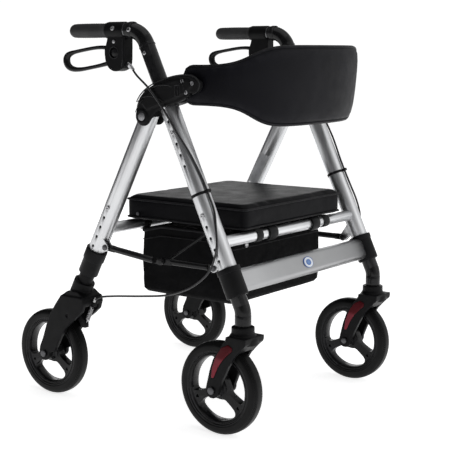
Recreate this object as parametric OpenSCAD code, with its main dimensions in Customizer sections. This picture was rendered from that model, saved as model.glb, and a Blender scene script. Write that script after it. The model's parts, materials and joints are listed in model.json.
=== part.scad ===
// Folding four-wheel rollator walker with padded seat, curved backrest and under-seat bag.
// +Z up, the front (direction of travel) faces -Y, the user stands at +Y, floor at Z = 0.

/* [Frame] */
// Distance from the centre plane to the plane of each side frame
leg_x = 264; // [230:1:300]
// Height of the hand grips above the floor
grip_h = 840; // [800:5:900]
// Y of the point where the grip line meets the front leg line
grip_corner_y = -36; // [-60:1:0]
// Backward lean of the front legs from the vertical
front_tilt = 25.2; // [20:0.1:30]
// Forward lean of the rear legs from the vertical
rear_tilt = 27.6; // [20:0.1:32]
// Y of the fold pivot
pivot_y = -56; // [-80:1:-40]
// Height of the fold pivot
pivot_z = 660; // [620:1:700]
// Outer diameter of the leg tubes
tube_d = 40; // [32:0.5:45]
// Outer diameter of the sliding inner tubes
inner_d = 34.4; // [26:0.1:40]
// Spacing of the height holes
hole_pitch = 25; // [20:0.5:30]
// Diameter of the height holes
hole_d = 6.6; // [4:0.1:9]

/* [Wheels] */
// Outer diameter of the wheels
wheel_d = 200; // [180:1:210]
// Width of the tyres
wheel_w = 34; // [28:1:40]
// Y of the front wheel centres at rest
front_wheel_y = -247; // [-270:1:-220]
// Y of the rear wheel centres
rear_wheel_y = 247; // [220:1:270]
// Y of the caster swivel axis
caster_y = -303.4; // [-320:0.1:-280]
// Diameter of the wheel axle bolts
axle_d = 8; // [6:0.5:10]

/* [Seat] */
// Width of the seat cushion
seat_w = 382; // [330:1:420]
// Y of the front edge of the seat
seat_front_y = -253; // [-270:1:-230]
// Y of the rear edge of the seat
seat_rear_y = 81; // [60:1:100]
// Height of the seat top
seat_top = 468.5; // [440:0.5:500]
// Thickness of the seat cushion
seat_t = 48; // [35:1:60]
// Diameter of the seat rails
rail_d = 25; // [20:1:30]

/* [Backrest and bag] */
// How far the backrest bows forward of the brackets
back_depth = 115; // [80:1:180]
// Y where the ends of the backrest stop, inside the brackets
back_end_y = -150; // [-180:1:-140]
// Thickness of the backrest pad
back_t = 22; // [14:1:30]
// Half width of the bag
bag_half_w = 172; // [130:1:185]
// Height of the bag floor
bag_low = 253; // [220:1:280]

/* [Hidden] */
$fn = 48;

silver = "#b9bcc0";
black = "#1b1b1d";
soft_black = "#26262a";
red = "#8e1f26";
steel = "#8b8d90";

tube_r = tube_d / 2;
inner_r = inner_d / 2;
bore_r = inner_r + 0.1;
wheel_r = wheel_d / 2;
leg_top = 130;
leg_end = 585;
screw_hi = 233.5;
screw_lo = 418;
rear_end = 385;
rear_screw = 229.5;
link_front_at = [-226, 350];
link_mid_at = [-86, 350];
link_rear_at = [65, 366];
link_front_x = -256;
link_rear_x = -271.5;
rail_front_at = [-240.7, 405];
rail_rear_at = [77.3, 405];
lever_at = [47, 793];
arm_at = [170, 200];
seat_low = seat_top - seat_t;

// The right-hand side is drawn; the left is its mirror image.
module side(s) {
  if (s > 0) {
    mirror([1, 0, 0]) children();
  } else {
    children();
  }
}

// Local frame with Z up along a leg, origin at the leg's reference point.
module on_front_leg() {
  translate([-leg_x, grip_corner_y, grip_h]) rotate([-front_tilt, 0, 0]) children();
}

module on_rear_leg() {
  translate([-leg_x, pivot_y, pivot_z]) rotate([rear_tilt, 0, 0]) children();
}

// Plate with a (y, z) outline, between two x planes.
module plate(pts, x0, x1) {
  translate([x0, 0, 0]) rotate([90, 0, 90]) linear_extrude(height = x1 - x0) polygon(pts);
}

// Cylinder along X through a (y, z) point.
module rod_x(at, r, x0, x1) {
  translate([x0, at[0], at[1]]) rotate([0, 90, 0]) cylinder(h = x1 - x0, r = r);
}

function arc(c, r, a0, a1, n) =
  [for (i = [0 : n]) [c[0] + r * cos(a0 + (a1 - a0) * i / n), c[1] + r * sin(a0 + (a1 - a0) * i / n)]];

// Outline of a rectangle with rounded corners.
function round_rect(x0, y0, x1, y1, r) = concat(
  arc([x1 - r, y1 - r], r, 0, 90, 6),
  arc([x0 + r, y1 - r], r, 90, 180, 6),
  arc([x0 + r, y0 + r], r, 180, 270, 6),
  arc([x1 - r, y0 + r], r, 270, 360, 6));

// Smooth curve through a list of points.
function curve(p, n) = [for (i = [0 : len(p) - 2]) for (k = [0 : n - 1])
  let (a = p[max(i - 1, 0)], b = p[i], c = p[i + 1], d = p[min(i + 2, len(p) - 1)], t = k / n)
  0.5 * (2 * b + (c - a) * t + (2 * a - 5 * b + 4 * c - d) * t * t + (3 * b - a - 3 * c + d) * t * t * t)];
function unit(v) = v / norm(v);

// A (y, z) point in the local frame of the front or rear leg.
function front_local(p) = let (a = p[0] - grip_corner_y, b = p[1] - grip_h)
  [a * cos(front_tilt) - b * sin(front_tilt), a * sin(front_tilt) + b * cos(front_tilt)];
function rear_local(p) = let (a = p[0] - pivot_y, b = p[1] - pivot_z)
  [a * cos(rear_tilt) + b * sin(rear_tilt), b * cos(rear_tilt) - a * sin(rear_tilt)];

// Round cord along a path that never runs along X.
module cord(path, r, n) {
  m = len(path);
  rings = [for (i = [0 : m - 1])
    let (t = unit(path[min(i + 1, m - 1)] - path[max(i - 1, 0)]),
      u = unit([1, 0, 0] - t * t[0]), v = cross(t, u))
    for (k = [0 : n - 1]) path[i] + r * (u * cos(360 * k / n) + v * sin(360 * k / n))];
  sides = [for (i = [0 : m - 2]) for (k = [0 : n - 1])
    [i * n + k, i * n + (k + 1) % n, (i + 1) * n + (k + 1) % n, (i + 1) * n + k]];
  polyhedron(points = rings, faces = concat(sides,
    [[for (k = [0 : n - 1]) n - 1 - k]], [[for (k = [0 : n - 1]) (m - 1) * n + k]]), convexity = 6);
}

// ---- front frame ----

module front_leg(s) {
  color(silver) side(s) difference() {
    union() {
      on_front_leg() difference() {
        translate([0, 0, -leg_end]) cylinder(h = leg_end - leg_top, r = tube_r);
        translate([0, 0, -leg_end - 1]) cylinder(h = leg_end - leg_top + 2, r = bore_r);
      }
      // two welded ears that carry the side link
      difference() {
        for (e = [[link_front_x - 7.4, 18.5], [link_front_x + 4.4, 12.4]]) {
          on_front_leg() translate([leg_x, 0, 0]) plate(concat([[e[1], -500], [e[1], -527]],
            arc(front_local(link_front_at), 8.5, -105, 75, 18)), e[0], e[0] + 3);
        }
        rod_x(link_front_at, 4, -leg_x - 20, -leg_x + 30);
      }
    }
    on_front_leg() {
      for (k = [-2 : 3]) {
        translate([-tube_r - 5, 0, -screw_hi - k * hole_pitch]) rotate([0, 90, 0]) cylinder(h = 15, d = hole_d);
      }
      for (k = [0 : 4]) {
        translate([-tube_r - 5, 0, -screw_lo - k * hole_pitch]) rotate([0, 90, 0]) cylinder(h = 15, d = hole_d);
      }
    }
  }
}

// Black collar clamped round the foot of each front leg.
module front_sleeves() {
  color(black) for (s = [-1, 1]) side(s) on_front_leg() difference() {
    union() {
      translate([0, 0, -596]) cylinder(h = 58, r = 24);
      translate([0, 0, -547]) cylinder(h = 11, r = 25.6);
      translate([0, 0, -598]) cylinder(h = 5, r1 = 22, r2 = 24);
    }
    translate([0, 0, -leg_end]) cylinder(h = 60, r = tube_r);
    translate([0, 0, -600]) cylinder(h = 30, r = bore_r);
  }
}

// Oval tube that joins the feet of the front legs.
module front_crossbar() {
  color(silver) difference() {
    translate([-leg_x, grip_corner_y, grip_h]) rotate([-front_tilt, 0, 0]) translate([0, 0, -567])
      difference() {
        plate(concat(arc([0, 13], 12.5, 0, 180, 20), arc([0, -13], 12.5, 180, 360, 20)), 8, 2 * leg_x - 8);
        plate(concat(arc([0, 13], 10.2, 0, 180, 20), arc([0, -13], 10.2, 180, 360, 20)), 0, 2 * leg_x);
      }
    for (s = [-1, 1]) side(s) on_front_leg() {
      translate([0, 0, -600]) cylinder(h = 64, r = 24);
      translate([0, 0, -547]) cylinder(h = 11, r = 25.6);
    }
  }
}

// Plain oval badge on the front of the crossbar.
module crossbar_badge() {
  color("#3d5f9a") on_front_leg() translate([leg_x, 0, -567]) rotate([90, 0, 0]) translate([0, 0, 12.5])
    linear_extrude(height = 1.6) polygon([for (i = [0 : 39]) [18.5 * cos(9 * i), 12.9 * sin(9 * i)]]);
}

module seat_front_rail() {
  color(silver) difference() {
    rod_x(rail_front_at, rail_d / 2, -leg_x, leg_x);
    rod_x(rail_front_at, rail_d / 2 - 2, -leg_x - 1, leg_x + 1);
    for (s = [-1, 1]) side(s) on_front_leg() translate([0, 0, -520]) cylinder(h = 120, r = tube_r);
  }
}

bracket_outline = concat(
  arc([-59, 661], 21, 30, -150, 16),
  [[-80, 654], [-86, 662], [-96, 672], [-113, 681], [-132, 686], [-157, 694], [-182, 705]],
  arc([-193, 729], 18, -60, -200, 10),
  [[-190, 746], [-168, 748], [-146, 746], [-124, 740], [-88, 727], [-65, 716], [-50, 700], [-42, 684]]);

// Moulded arm that holds the front leg, the fold pivot and one end of the backrest.
module bracket(s) {
  color(black) side(s) difference() {
    union() {
      plate(bracket_outline, -leg_x - 25, -leg_x + 25);
      plate([[-70, 675], [-88, 681], [-120, 692], [-150, 702], [-178, 714], [-192, 728], [-182, 738],
        [-150, 738], [-118, 731], [-86, 718], [-66, 704], [-58, 688]], -leg_x - 27.5, -leg_x);
      rod_x([pivot_y, pivot_z], 15, -leg_x - 27, -leg_x - 20);
    }
    // slot where the rear leg swings
    intersection() {
      rod_x([pivot_y, pivot_z], 27, -leg_x - 20.6, -leg_x + 20.6);
      plate([[0, 600], [0, 720], [-60, 720], [-84, 690], [-84, 600]], -leg_x - 21, -leg_x + 21);
    }
    rod_x([pivot_y, pivot_z], 5, -leg_x - 40, -leg_x + 40);
    rod_x([pivot_y, pivot_z], 9, -leg_x - 40, -leg_x - 24.5);
    on_front_leg() {
      translate([0, 0, -300]) cylinder(h = 300 - leg_top, r = tube_r);
      translate([0, 0, -200]) cylinder(h = 170, r = inner_r + 0.3);
    }
    // pocket for the backrest end
    plate([[-146, 680], [-146, 768], [-240, 768], [-240, 680]], -leg_x - 13, -leg_x + 17);
    for (p = bracket_screw_at) rod_x(p, 2.6, -leg_x - 40, -leg_x - 8);
    for (p = bracket_screw_at) rod_x(p, 4.6, -leg_x - 40, -leg_x - 23.5);
  }
}

bracket_screw_at = [[-166, 736], [-192, 732], [-176, 713]];

module bracket_screws() {
  color(steel) for (s = [-1, 1]) side(s) for (p = bracket_screw_at) {
    difference() {
      union() {
        rod_x(p, 2.6, -leg_x - 25, -leg_x - 13);
        rod_x(p, 4.6, -leg_x - 26.2, -leg_x - 23.5);
      }
      translate([-leg_x - 27, p[0] - 0.6, p[1] - 3]) cube([1.8, 1.2, 6]);
    }
  }
}

module fold_bolts() {
  color(steel) for (s = [-1, 1]) side(s) {
    rod_x([pivot_y, pivot_z], 5, -leg_x - 24.5, -leg_x + 26);
    rod_x([pivot_y, pivot_z], 9, -leg_x - 27.5, -leg_x - 24.5);
    rod_x([pivot_y, pivot_z], 8, -leg_x + 25, -leg_x + 29);
  }
}

// Padded band, bowed forward in plan and taller in the middle.
function back_pt(t, off) =
  let (a = leg_x - 2, e = 2 / 2.3, c = cos(t), n = sin(t))
  [sign(c) * (a + off) * pow(abs(c), e), -190 - (back_depth + off) * pow(abs(n), e)];
// Share of the full height, 0 at the ends and 1 across the middle.
function back_share(x) = 1 / (1 + exp((abs(x) - 200) * 0.045));
function back_ring(t, y) =
  let (o = back_pt(t, back_t / 2), n = back_pt(t, -back_t / 2), zt = 765 + 44 * back_share(o[0]),
    zb = 690 - 52 * back_share(o[0]), yo = y == undef ? o[1] : y, yn = y == undef ? n[1] : y)
  [[o[0], yo, zb + 5], [o[0], yo, zt - 5], [(3 * o[0] + n[0]) / 4, (3 * yo + yn) / 4, zt],
    [(o[0] + 3 * n[0]) / 4, (yo + 3 * yn) / 4, zt], [n[0], yn, zt - 5], [n[0], yn, zb + 5],
    [(o[0] + 3 * n[0]) / 4, (yo + 3 * yn) / 4, zb], [(3 * o[0] + n[0]) / 4, (3 * yo + yn) / 4, zb]];

module backrest() {
  steps = 40;
  rings = concat([back_ring(0, back_end_y)], [for (i = [0 : steps]) back_ring(180 * i / steps)],
    [back_ring(180, back_end_y)]);
  last = len(rings) - 1;
  color(soft_black) polyhedron(
    points = [for (ring = rings) for (q = ring) q],
    faces = concat(
      [for (i = [0 : last - 1]) for (k = [0 : 7])
        [i * 8 + k, (i + 1) * 8 + k, (i + 1) * 8 + (k + 1) % 8, i * 8 + (k + 1) % 8]],
      [[0, 1, 2, 3, 4, 5, 6, 7]], [[for (k = [0 : 7]) last * 8 + 7 - k]]), convexity = 6);
}

// Band that holds the brake cable to each front leg.
module cable_ties() {
  color(black) for (s = [-1, 1]) side(s) difference() {
    union() {
      on_front_leg() translate([0, 0, -376]) cylinder(h = 6, r = tube_r + 1.4);
      on_front_leg() translate([-9, -28, -376]) cube([10, 12, 6]);
    }
    on_front_leg() translate([0, 0, -380]) cylinder(h = 20, r = tube_r);
    on_front_leg() translate([-5.8, -22.4, -380]) cylinder(h = 20, r = 2.6);
  }
}

module link_pins_front() {
  color(steel) for (s = [-1, 1]) side(s) {
    rod_x(link_front_at, 4, link_front_x - 9, link_front_x + 9);
    rod_x(link_front_at, 6.5, link_front_x - 10, link_front_x - 7.4);
    rod_x(link_front_at, 6.5, link_front_x + 7.4, link_front_x + 10);
  }
}

module leg_screw() {
  translate([-tube_r + 0.1 - 1.4, 0, 0]) rotate([0, 90, 0]) cylinder(h = 3.2, d = hole_d);
  translate([-tube_r - 2.8, 0, 0]) rotate([0, 90, 0]) cylinder(h = 2.2, r = 5);
}

module leg_screws_front() {
  color(steel) for (s = [-1, 1]) side(s) on_front_leg() for (d = [screw_hi, screw_lo]) {
    translate([0, 0, -d]) difference() {
      union() {
        translate([-tube_r - 2.6, 0, 0]) rotate([0, 90, 0]) cylinder(h = 2.4, r = 5);
        translate([-tube_r - 1, 0, 0]) rotate([0, 90, 0]) cylinder(h = 3.4, d = hole_d);
      }
      translate([-tube_r - 3, 0, 0]) rotate([0, 90, 0]) cylinder(h = 2, r = 2, $fn = 6);
    }
  }
}

// ---- bag ----

module bag() {
  color(soft_black) plate(round_rect(-208, bag_low, 42, 398, 16), -bag_half_w, bag_half_w);
}

module strap_loop(at, x, edge, to) {
  s = sign(to - at[0]);
  under = at[1] - rail_d / 2;
  difference() {
    union() {
      rod_x(at, rail_d / 2 + 1.9, x - 11, x + 11);
      plate([[at[0] - s, under - 1.7], [at[0] + s, under - 0.2], [edge - 1.8 * s, 399.9], [to, 399.9], [to, 398.1],
        [edge, 398.1]], x - 11, x + 11);
    }
    rod_x(at, rail_d / 2 + 0.2, x - 12, x + 12);
  }
}

module bag_straps() {
  color(soft_black) for (x = [-133, 133]) {
    strap_loop(rail_front_at, x, -210.2, -190);
    strap_loop(rail_rear_at, x, 44.2, 24);
  }
}

// ---- cables ----

cable_all = [[-264, -10, 757], [-277, -34, 744], [-294.5, -78, 722], [-296.5, -104, 697], [-295, -121, 676],
  [-289, -134, 653], [-285.5, -149.5, 628], [-277.5, -178, 585], [-271, -201.5, 540], [-269.8, -219.8, 503],
  [-271, -234.5, 472], [-278.5, -244.5, 442], [-285.5, -252, 405], [-288, -247, 374], [-289, -232, 345],
  [-288, -200, 318], [-286, -162, 298], [-282, -109, 281], [-278, -42, 270], [-272, 43, 258],
  [-267, 90, 249], [-264, 113, 238.5]];
cable_split = 36;

module cable_upper(s) {
  path = curve(cable_all, 4);
  color("#111113") side(s) cord([for (i = [0 : cable_split]) path[i]], 2.2, 8);
}

module cable_lower(s) {
  path = curve(cable_all, 4);
  color("#111113") side(s) cord([for (i = [cable_split : len(path) - 1]) path[i]], 2.2, 8);
}

// ---- handles ----

module handle_tube(s) {
  bend_r = 50;
  turn = 90 - front_tilt;
  back = bend_r * tan(turn / 2);
  color(black) side(s) difference() {
    union() {
      on_front_leg() translate([0, 0, -330]) cylinder(h = 330 - back + 0.6, r = inner_r);
      translate([-leg_x, grip_corner_y + back, grip_h - bend_r]) rotate([90, 0, 90]) rotate([0, 0, 90])
        rotate_extrude(angle = turn) translate([bend_r, 0]) circle(r = inner_r - 0.15);
      translate([-leg_x, grip_corner_y + back - 0.6, grip_h]) rotate([-90, 0, 0]) cylinder(h = 8, r = inner_r);
      translate([-leg_x, grip_corner_y + back + 4, grip_h]) rotate([-90, 0, 0]) cylinder(h = 156, r = 11);
    }
    on_front_leg() translate([0, 0, -331]) cylinder(h = 280, r = inner_r - 2.2);
  }
}

module grip(s) {
  color(black) side(s) translate([-leg_x, 0, grip_h]) rotate([-90, 0, 0]) difference() {
    union() {
      translate([0, 0, 58.5]) cylinder(h = 5, r = 16.5);
      translate([0, 0, 63.5]) cylinder(h = 98, r = 15);
      for (i = [0 : 10]) translate([0, 0, 70 + 8 * i]) cylinder(h = 3, r = 15.8);
      translate([0, 0, 161]) cylinder(h = 9, r1 = 15, r2 = 9);
    }
    translate([0, 0, 50]) cylinder(h = 106.2, r = 11);
  }
}

module brake_housing(s) {
  body = concat([[-2, 826], [-2, 779], [6, 769]], [[20, 757], [32, 752.5], [46, 752.5]],
    arc([47, 778], 25.5, -60, 0, 5), [[74, 806], [67, 816], [58, 822.5], [58, 828]]);
  color(black) side(s) {
    difference() {
      union() {
        plate(body, -leg_x - 15, -leg_x + 15);
        translate([-leg_x, 5, grip_h]) rotate([-90, 0, 0]) cylinder(h = 53, r = 17.6);
        // cable adjuster boss
        translate([-leg_x, 2, 768]) rotate([45, 0, 0]) translate([0, 0, -16]) cylinder(h = 24, r = 4.5);
      }
      translate([-leg_x, -10, grip_h]) rotate([-90, 0, 0]) cylinder(h = 90, r = 11);
      translate([-leg_x, -22, grip_h]) rotate([-90, 0, 0]) cylinder(h = 26, r = inner_r);
      // slot for the lever
      plate(concat([[24, 775], [24, 806], [30, 818], [90, 818], [90, 740], [30, 740]]), -leg_x - 6.2, -leg_x + 6.2);
    }
    rod_x(lever_at, 4, -leg_x - 14, -leg_x + 14);
  }
}

module brake_lever(s) {
  outer = concat([[36, 802], [44, 806], [75, 808.5], [120, 804], [155, 799], [178, 794]],
    arc([183, 784], 10, 60, -20, 5), [[190, 768]], arc([179, 763], 10, -10, -100, 5),
    [[150, 752], [110, 757], [66, 763.5], [52, 768], [40, 778], [34, 788]]);
  inner = concat([[70, 797], [120, 793], [155, 788], [172, 784]], [[177, 779], [178, 770], [172, 764]],
    [[150, 763], [110, 768], [72, 774.5], [66, 781], [65, 791]]);
  color(black) side(s) difference() {
    union() {
      plate(outer, -leg_x - 5.6, -leg_x + 5.6);
    }
    plate(inner, -leg_x - 8, -leg_x + 8);
    rod_x(lever_at, 4.06, -leg_x - 20, -leg_x + 20);
  }
}

// ---- rear frame ----

module rear_leg(s) {
  color(silver) side(s) difference() {
    union() {
      on_rear_leg() difference() {
        translate([0, 0, -rear_end]) cylinder(h = rear_end + 14, r = tube_r);
        translate([0, 0, -rear_end - 1]) cylinder(h = rear_end + 20, r = bore_r);
      }
      difference() {
        for (e = [[link_rear_x - 7.4, -12.9], [link_rear_x + 4.4, -18.5]]) {
          on_rear_leg() translate([leg_x, 0, 0]) plate(concat([[e[1], -334], [e[1], -302]],
            arc(rear_local(link_rear_at), 8.5, 110, 250, 18)), e[0], e[0] + 3);
        }
        rod_x(link_rear_at, 4, -leg_x - 30, -leg_x + 20);
      }
    }
    rod_x([pivot_y, pivot_z], 5.05, -leg_x - 30, -leg_x + 30);
    on_rear_leg() for (k = [0 : 4]) {
      translate([-tube_r - 5, 0, -rear_screw - k * hole_pitch]) rotate([0, 90, 0]) cylinder(h = 15, d = hole_d);
    }
  }
}

module seat_rear_rail() {
  color(silver) difference() {
    rod_x(rail_rear_at, rail_d / 2, -leg_x, leg_x);
    rod_x(rail_rear_at, rail_d / 2 - 2, -leg_x - 1, leg_x + 1);
    for (s = [-1, 1]) side(s) on_rear_leg() translate([0, 0, -350]) cylinder(h = 120, r = tube_r);
  }
}

module rear_sleeves() {
  color(black) for (s = [-1, 1]) side(s) on_rear_leg() difference() {
    union() {
      translate([0, 0, -405]) cylinder(h = 63, r = 22.6);
      translate([0, 0, -368]) cylinder(h = 26, r = 24.4);
      translate([0, 0, -345]) cylinder(h = 4, r1 = 24.4, r2 = 23);
    }
    translate([0, 0, -rear_end]) cylinder(h = 60, r = tube_r);
    translate([0, 0, -410]) cylinder(h = 40, r = bore_r);
  }
}

module link_pins_rear() {
  color(steel) for (s = [-1, 1]) side(s) {
    rod_x(link_rear_at, 4, link_rear_x - 9, link_rear_x + 9);
    rod_x(link_rear_at, 6.5, link_rear_x - 10, link_rear_x - 7.4);
    rod_x(link_rear_at, 6.5, link_rear_x + 7.4, link_rear_x + 10);
  }
}

module leg_screws_rear() {
  color(steel) for (s = [-1, 1]) side(s) on_rear_leg() translate([0, 0, -rear_screw]) difference() {
    union() {
      translate([-tube_r - 2.6, 0, 0]) rotate([0, 90, 0]) cylinder(h = 2.4, r = 5);
      translate([-tube_r - 1, 0, 0]) rotate([0, 90, 0]) cylinder(h = 3.4, d = hole_d);
    }
    translate([-tube_r - 3, 0, 0]) rotate([0, 90, 0]) cylinder(h = 2, r = 2, $fn = 6);
  }
}

// Sliding tube with the fixed fork of a rear wheel.
module rear_fork(s) {
  prong = concat([[121, 246], [118, 232], [124, 214], [140, 200], [158, 187], [176, 170], [192, 147], [214, 110]],
    arc([rear_wheel_y, 100], 17, 170, 350, 12),
    [[261, 115], [250, 138], [238, 170], [226, 196], [208, 222], [189, 246]]);
  color(black) side(s) difference() {
    union() {
      on_rear_leg() translate([0, 0, -450]) cylinder(h = 240, r = inner_r);
      on_rear_leg() translate([0, 0, -470]) cylinder(h = 42, r = 24);
      plate(prong, -leg_x - 33, -leg_x - 22);
      plate(prong, -leg_x + 22, -leg_x + 33);
      plate([[121, 246], [118, 232], [122, 225.5], [131, 224], [136, 219.5], [150, 219], [180, 219], [206, 223],
        [189, 246], [170, 258], [140, 258]],
        -leg_x - 30, -leg_x + 30);
      // lug that stops the cable sheath
      plate([[112, 222], [112, 232], [124, 240], [132, 224]], -leg_x - 7, -leg_x + 7);
    }
    on_rear_leg() translate([0, 0, -430]) cylinder(h = 230, r = inner_r - 2.2);
    rod_x([rear_wheel_y, wheel_r], axle_d / 2, -leg_x - 40, -leg_x + 40);
    translate([-leg_x, 119, 240]) rotate([-8, 0, 0]) translate([0, 0, -30]) cylinder(h = 60, r = 1.6);
    rod_x(arm_at, 4, -leg_x - 40, -leg_x + 40);
    intersection() {
      rod_x([rear_wheel_y, wheel_r], 106, -leg_x - 22, -leg_x + 22);
    }
  }
}

module axle(y) {
  rod_x([y, wheel_r], axle_d / 2, -leg_x - 35, -leg_x + 35);
  rod_x([y, wheel_r], 8, -leg_x - 37.5, -leg_x - 33);
  rod_x([y, wheel_r], 7, -leg_x + 33, -leg_x + 38);
}

module rear_axle(s) {
  color(steel) side(s) axle(rear_wheel_y);
}

// Pivoting arm with the brake shoe, pinned between the prongs.
module brake_arm(s) {
  color("#232326") side(s) difference() {
    union() {
      plate(concat([[139, 171], [150, 171], [162, 190]], arc(arm_at, 10, 225, 300, 4), [[185, 190], [196, 190.5], [206, 193.5],
        [205, 199], [190, 203]], arc(arm_at, 10, 60, 150, 4), [[150, 196], [139, 182]]), -leg_x - 6, -leg_x + 6);
      plate([[188, 188.5], [207, 194.5], [205, 200], [186, 195]], -leg_x - 17, -leg_x + 17);
      rod_x(arm_at, 3.95, -leg_x - 31, -leg_x + 31);
    }
    translate([-leg_x, 145, 180]) rotate([-20, 0, 0]) translate([0, 0, -12]) cylinder(h = 24, r = 1.6);
  }
}

module brake_spring(s) {
  color(steel) side(s) translate([-leg_x, 122.4, 221]) rotate([-155, 0, 0]) difference() {
    cylinder(h = 38, r = 5);
    translate([0, 0, -1]) cylinder(h = 40, r = 3.6);
  }
}

// ---- casters ----

module front_stem(s) {
  bend_r = 45;
  back = bend_r * tan(front_tilt / 2);
  corner_s = (grip_corner_y - caster_y) / sin(front_tilt);
  corner_z = grip_h - corner_s * cos(front_tilt);
  color(black) side(s) difference() {
    union() {
      on_front_leg() translate([0, 0, -corner_s + back - 0.6]) cylinder(h = corner_s - back - 424.4, r = inner_r);
      translate([-leg_x, caster_y + bend_r, corner_z - back]) rotate([90, 0, 90]) rotate([0, 0, 180 - front_tilt])
        rotate_extrude(angle = front_tilt) translate([bend_r, 0]) circle(r = inner_r - 0.15);
      translate([-leg_x, caster_y, 240]) cylinder(h = corner_z - back - 239.4, r = inner_r);
      translate([-leg_x, caster_y, 214]) cylinder(h = 30, r = 8);
    }
    on_front_leg() translate([0, 0, -corner_s + 30]) cylinder(h = 250, r = inner_r - 2.2);
  }
}

module front_fork(s) {
  prong = concat([[-334, 224], [-333, 208], [-322, 198], [-303, 178], [-288, 154], [-273, 125], [-264, 103]],
    arc([front_wheel_y, 100], 17, 190, 350, 10),
    [[-231, 103], [-241, 143], [-250, 168], [-264, 189], [-281, 212], [-284, 224]]);
  color(black) side(s) difference() {
    union() {
      translate([-leg_x, caster_y, 214]) cylinder(h = 25, r = 24);
      translate([-leg_x, caster_y, 212]) cylinder(h = 14, r1 = 33, r2 = 24);
      translate([-leg_x, caster_y, 203]) cylinder(h = 9, r = 33);
      intersection() {
        plate(prong, -leg_x - 33, -leg_x + 33);
        translate([-leg_x - 40, caster_y - 40, 60]) cube([80, 120, 160]);
      }
    }
    rod_x([front_wheel_y, wheel_r], axle_d / 2, -leg_x - 40, -leg_x + 40);
    rod_x([front_wheel_y, wheel_r], 107, -leg_x - 22, -leg_x + 22);
    translate([-leg_x, caster_y, 200]) cylinder(h = 60, r = 8.06);
    // seat for the coloured insert
    plate(insert_outline, -leg_x - 40, -leg_x - 31.5);
  }
}

insert_outline = [[-289, 204], [-272, 195], [-259, 176], [-249, 150], [-246, 128], [-252, 128], [-262, 150], [-274, 168],
  [-288, 182], [-299, 191], [-300, 199]];

module fork_insert(s) {
  color(red) side(s) plate(insert_outline, -leg_x - 34.5, -leg_x - 31.5);
}

module front_axle(s) {
  color(steel) side(s) axle(front_wheel_y);
}

// ---- wheels ----

window = concat(arc([46, 40], 8, 20, 145, 8), arc([30.5, 17.5], 8, 145, 180, 3),
  arc([30.5, -17.5], 8, 180, 215, 3), arc([46, -40], 8, 215, 340, 8), arc([0, 0], 69.5, -30, 30, 10));

module wheel(y) {
  half = wheel_w / 2;
  translate([-leg_x, y, wheel_r]) rotate([0, 90, 0]) difference() {
    rotate_extrude($fn = 96) polygon([[axle_d / 2 + 0.05, -20], [18, -20], [21, -12], [70, -12], [77, -14], [86, -half + 1],
      [94, -half + 1], [98.4, -half + 5.5], [wheel_r, -half + 10], [wheel_r, half - 10], [98.4, half - 5.5],
      [94, half - 1], [86, half - 1], [77, 14], [70, 12], [21, 12], [18, 20], [axle_d / 2 + 0.05, 20]]);
    for (k = [0 : 2]) rotate([0, 0, 120 * k]) translate([0, 0, -15]) linear_extrude(height = 30) polygon(window);
    for (k = [0 : 2]) rotate([0, 0, 120 * k + 60]) translate([62, 0, -15]) cylinder(h = 30, r = 3.4);
  }
}

module wheel_front(s) {
  color("#151517") side(s) wheel(front_wheel_y);
}

module wheel_rear(s) {
  color("#151517") side(s) wheel(rear_wheel_y);
}

// ---- seat ----

module seat_board() {
  color(black) {
    translate([-165, seat_front_y + 24, seat_low]) cube([330, seat_rear_y - seat_front_y - 48, 10]);
    // hinge saddles round the front rail
    for (x = [-100, 70]) difference() {
      union() {
        rod_x(rail_front_at, 17, x, x + 30);
        translate([x, -233, seat_low - 3]) cube([30, 40, 8]);
      }
      rod_x(rail_front_at, rail_d / 2 + 0.08, x - 1, x + 31);
      translate([x - 1, -300, seat_low + 5]) cube([32, 200, 40]);
    }
  }
}

module seat_pad() {
  color(soft_black) difference() {
    translate([0, 0, seat_low]) linear_extrude(height = seat_t)
      polygon(round_rect(-seat_w / 2, seat_front_y, seat_w / 2, seat_rear_y, 18));
    translate([-165, seat_front_y + 24, seat_low - 1]) cube([330, seat_rear_y - seat_front_y - 48, 11]);
    for (x = [-100, 70]) {
      translate([x - 1, -262, seat_low - 1]) cube([32, 50, 6.5]);
    }
  }
}

// ---- side links ----

module bar(a, b, x, r, cut_a, cut_b) {
  d = [b[0] - a[0], b[1] - a[1]];
  l = norm(d);
  ang = atan2(d[1], d[0]);
  translate([x, a[0], a[1]]) rotate([ang, 0, 0]) translate([0, cut_a, 0]) rotate([-90, 0, 0])
    cylinder(h = l - cut_a - cut_b, r = r);
}

module eye(at, to, x0, x1, reach) {
  ang = atan2(to[1] - at[1], to[0] - at[0]);
  rod_x(at, 8, x0, x1);
  translate([x0, at[0], at[1]]) rotate([ang, 0, 0]) translate([0, 0, -7.2]) cube([x1 - x0, reach, 14.4]);
}

module link_front(s) {
  color(black) side(s) difference() {
    union() {
      bar(link_front_at, link_mid_at, link_front_x, 7, 18, 16);
      eye(link_front_at, link_mid_at, link_front_x - 3, link_front_x + 3, 24);
      eye(link_mid_at, link_front_at, -263, -258, 24);
      // rivet half and brace rod
      rod_x(link_mid_at, 4, -263.6, -236);
      rod_x(link_mid_at, 7, -258, -253);
      bar(link_mid_at, [-207, 428], -239, 3.2, 0, 0);
      rod_x(link_mid_at, 6, -243, -235);
    }
    rod_x(link_front_at, 4.06, -leg_x - 30, -leg_x + 30);
  }
}

module link_rear(s) {
  color(black) side(s) difference() {
    union() {
      bar(link_rear_at, link_mid_at, link_rear_x, 7, 18, 16);
      eye(link_rear_at, link_mid_at, link_rear_x - 3, link_rear_x + 3, 24);
      eye(link_mid_at, link_rear_at, -269.5, -264.5, 24);
      rod_x(link_mid_at, 4, -272, -264.1);
      rod_x(link_mid_at, 7, -273, -269.5);
    }
    rod_x(link_rear_at, 4.06, -leg_x - 30, -leg_x + 30);
  }
}

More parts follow.
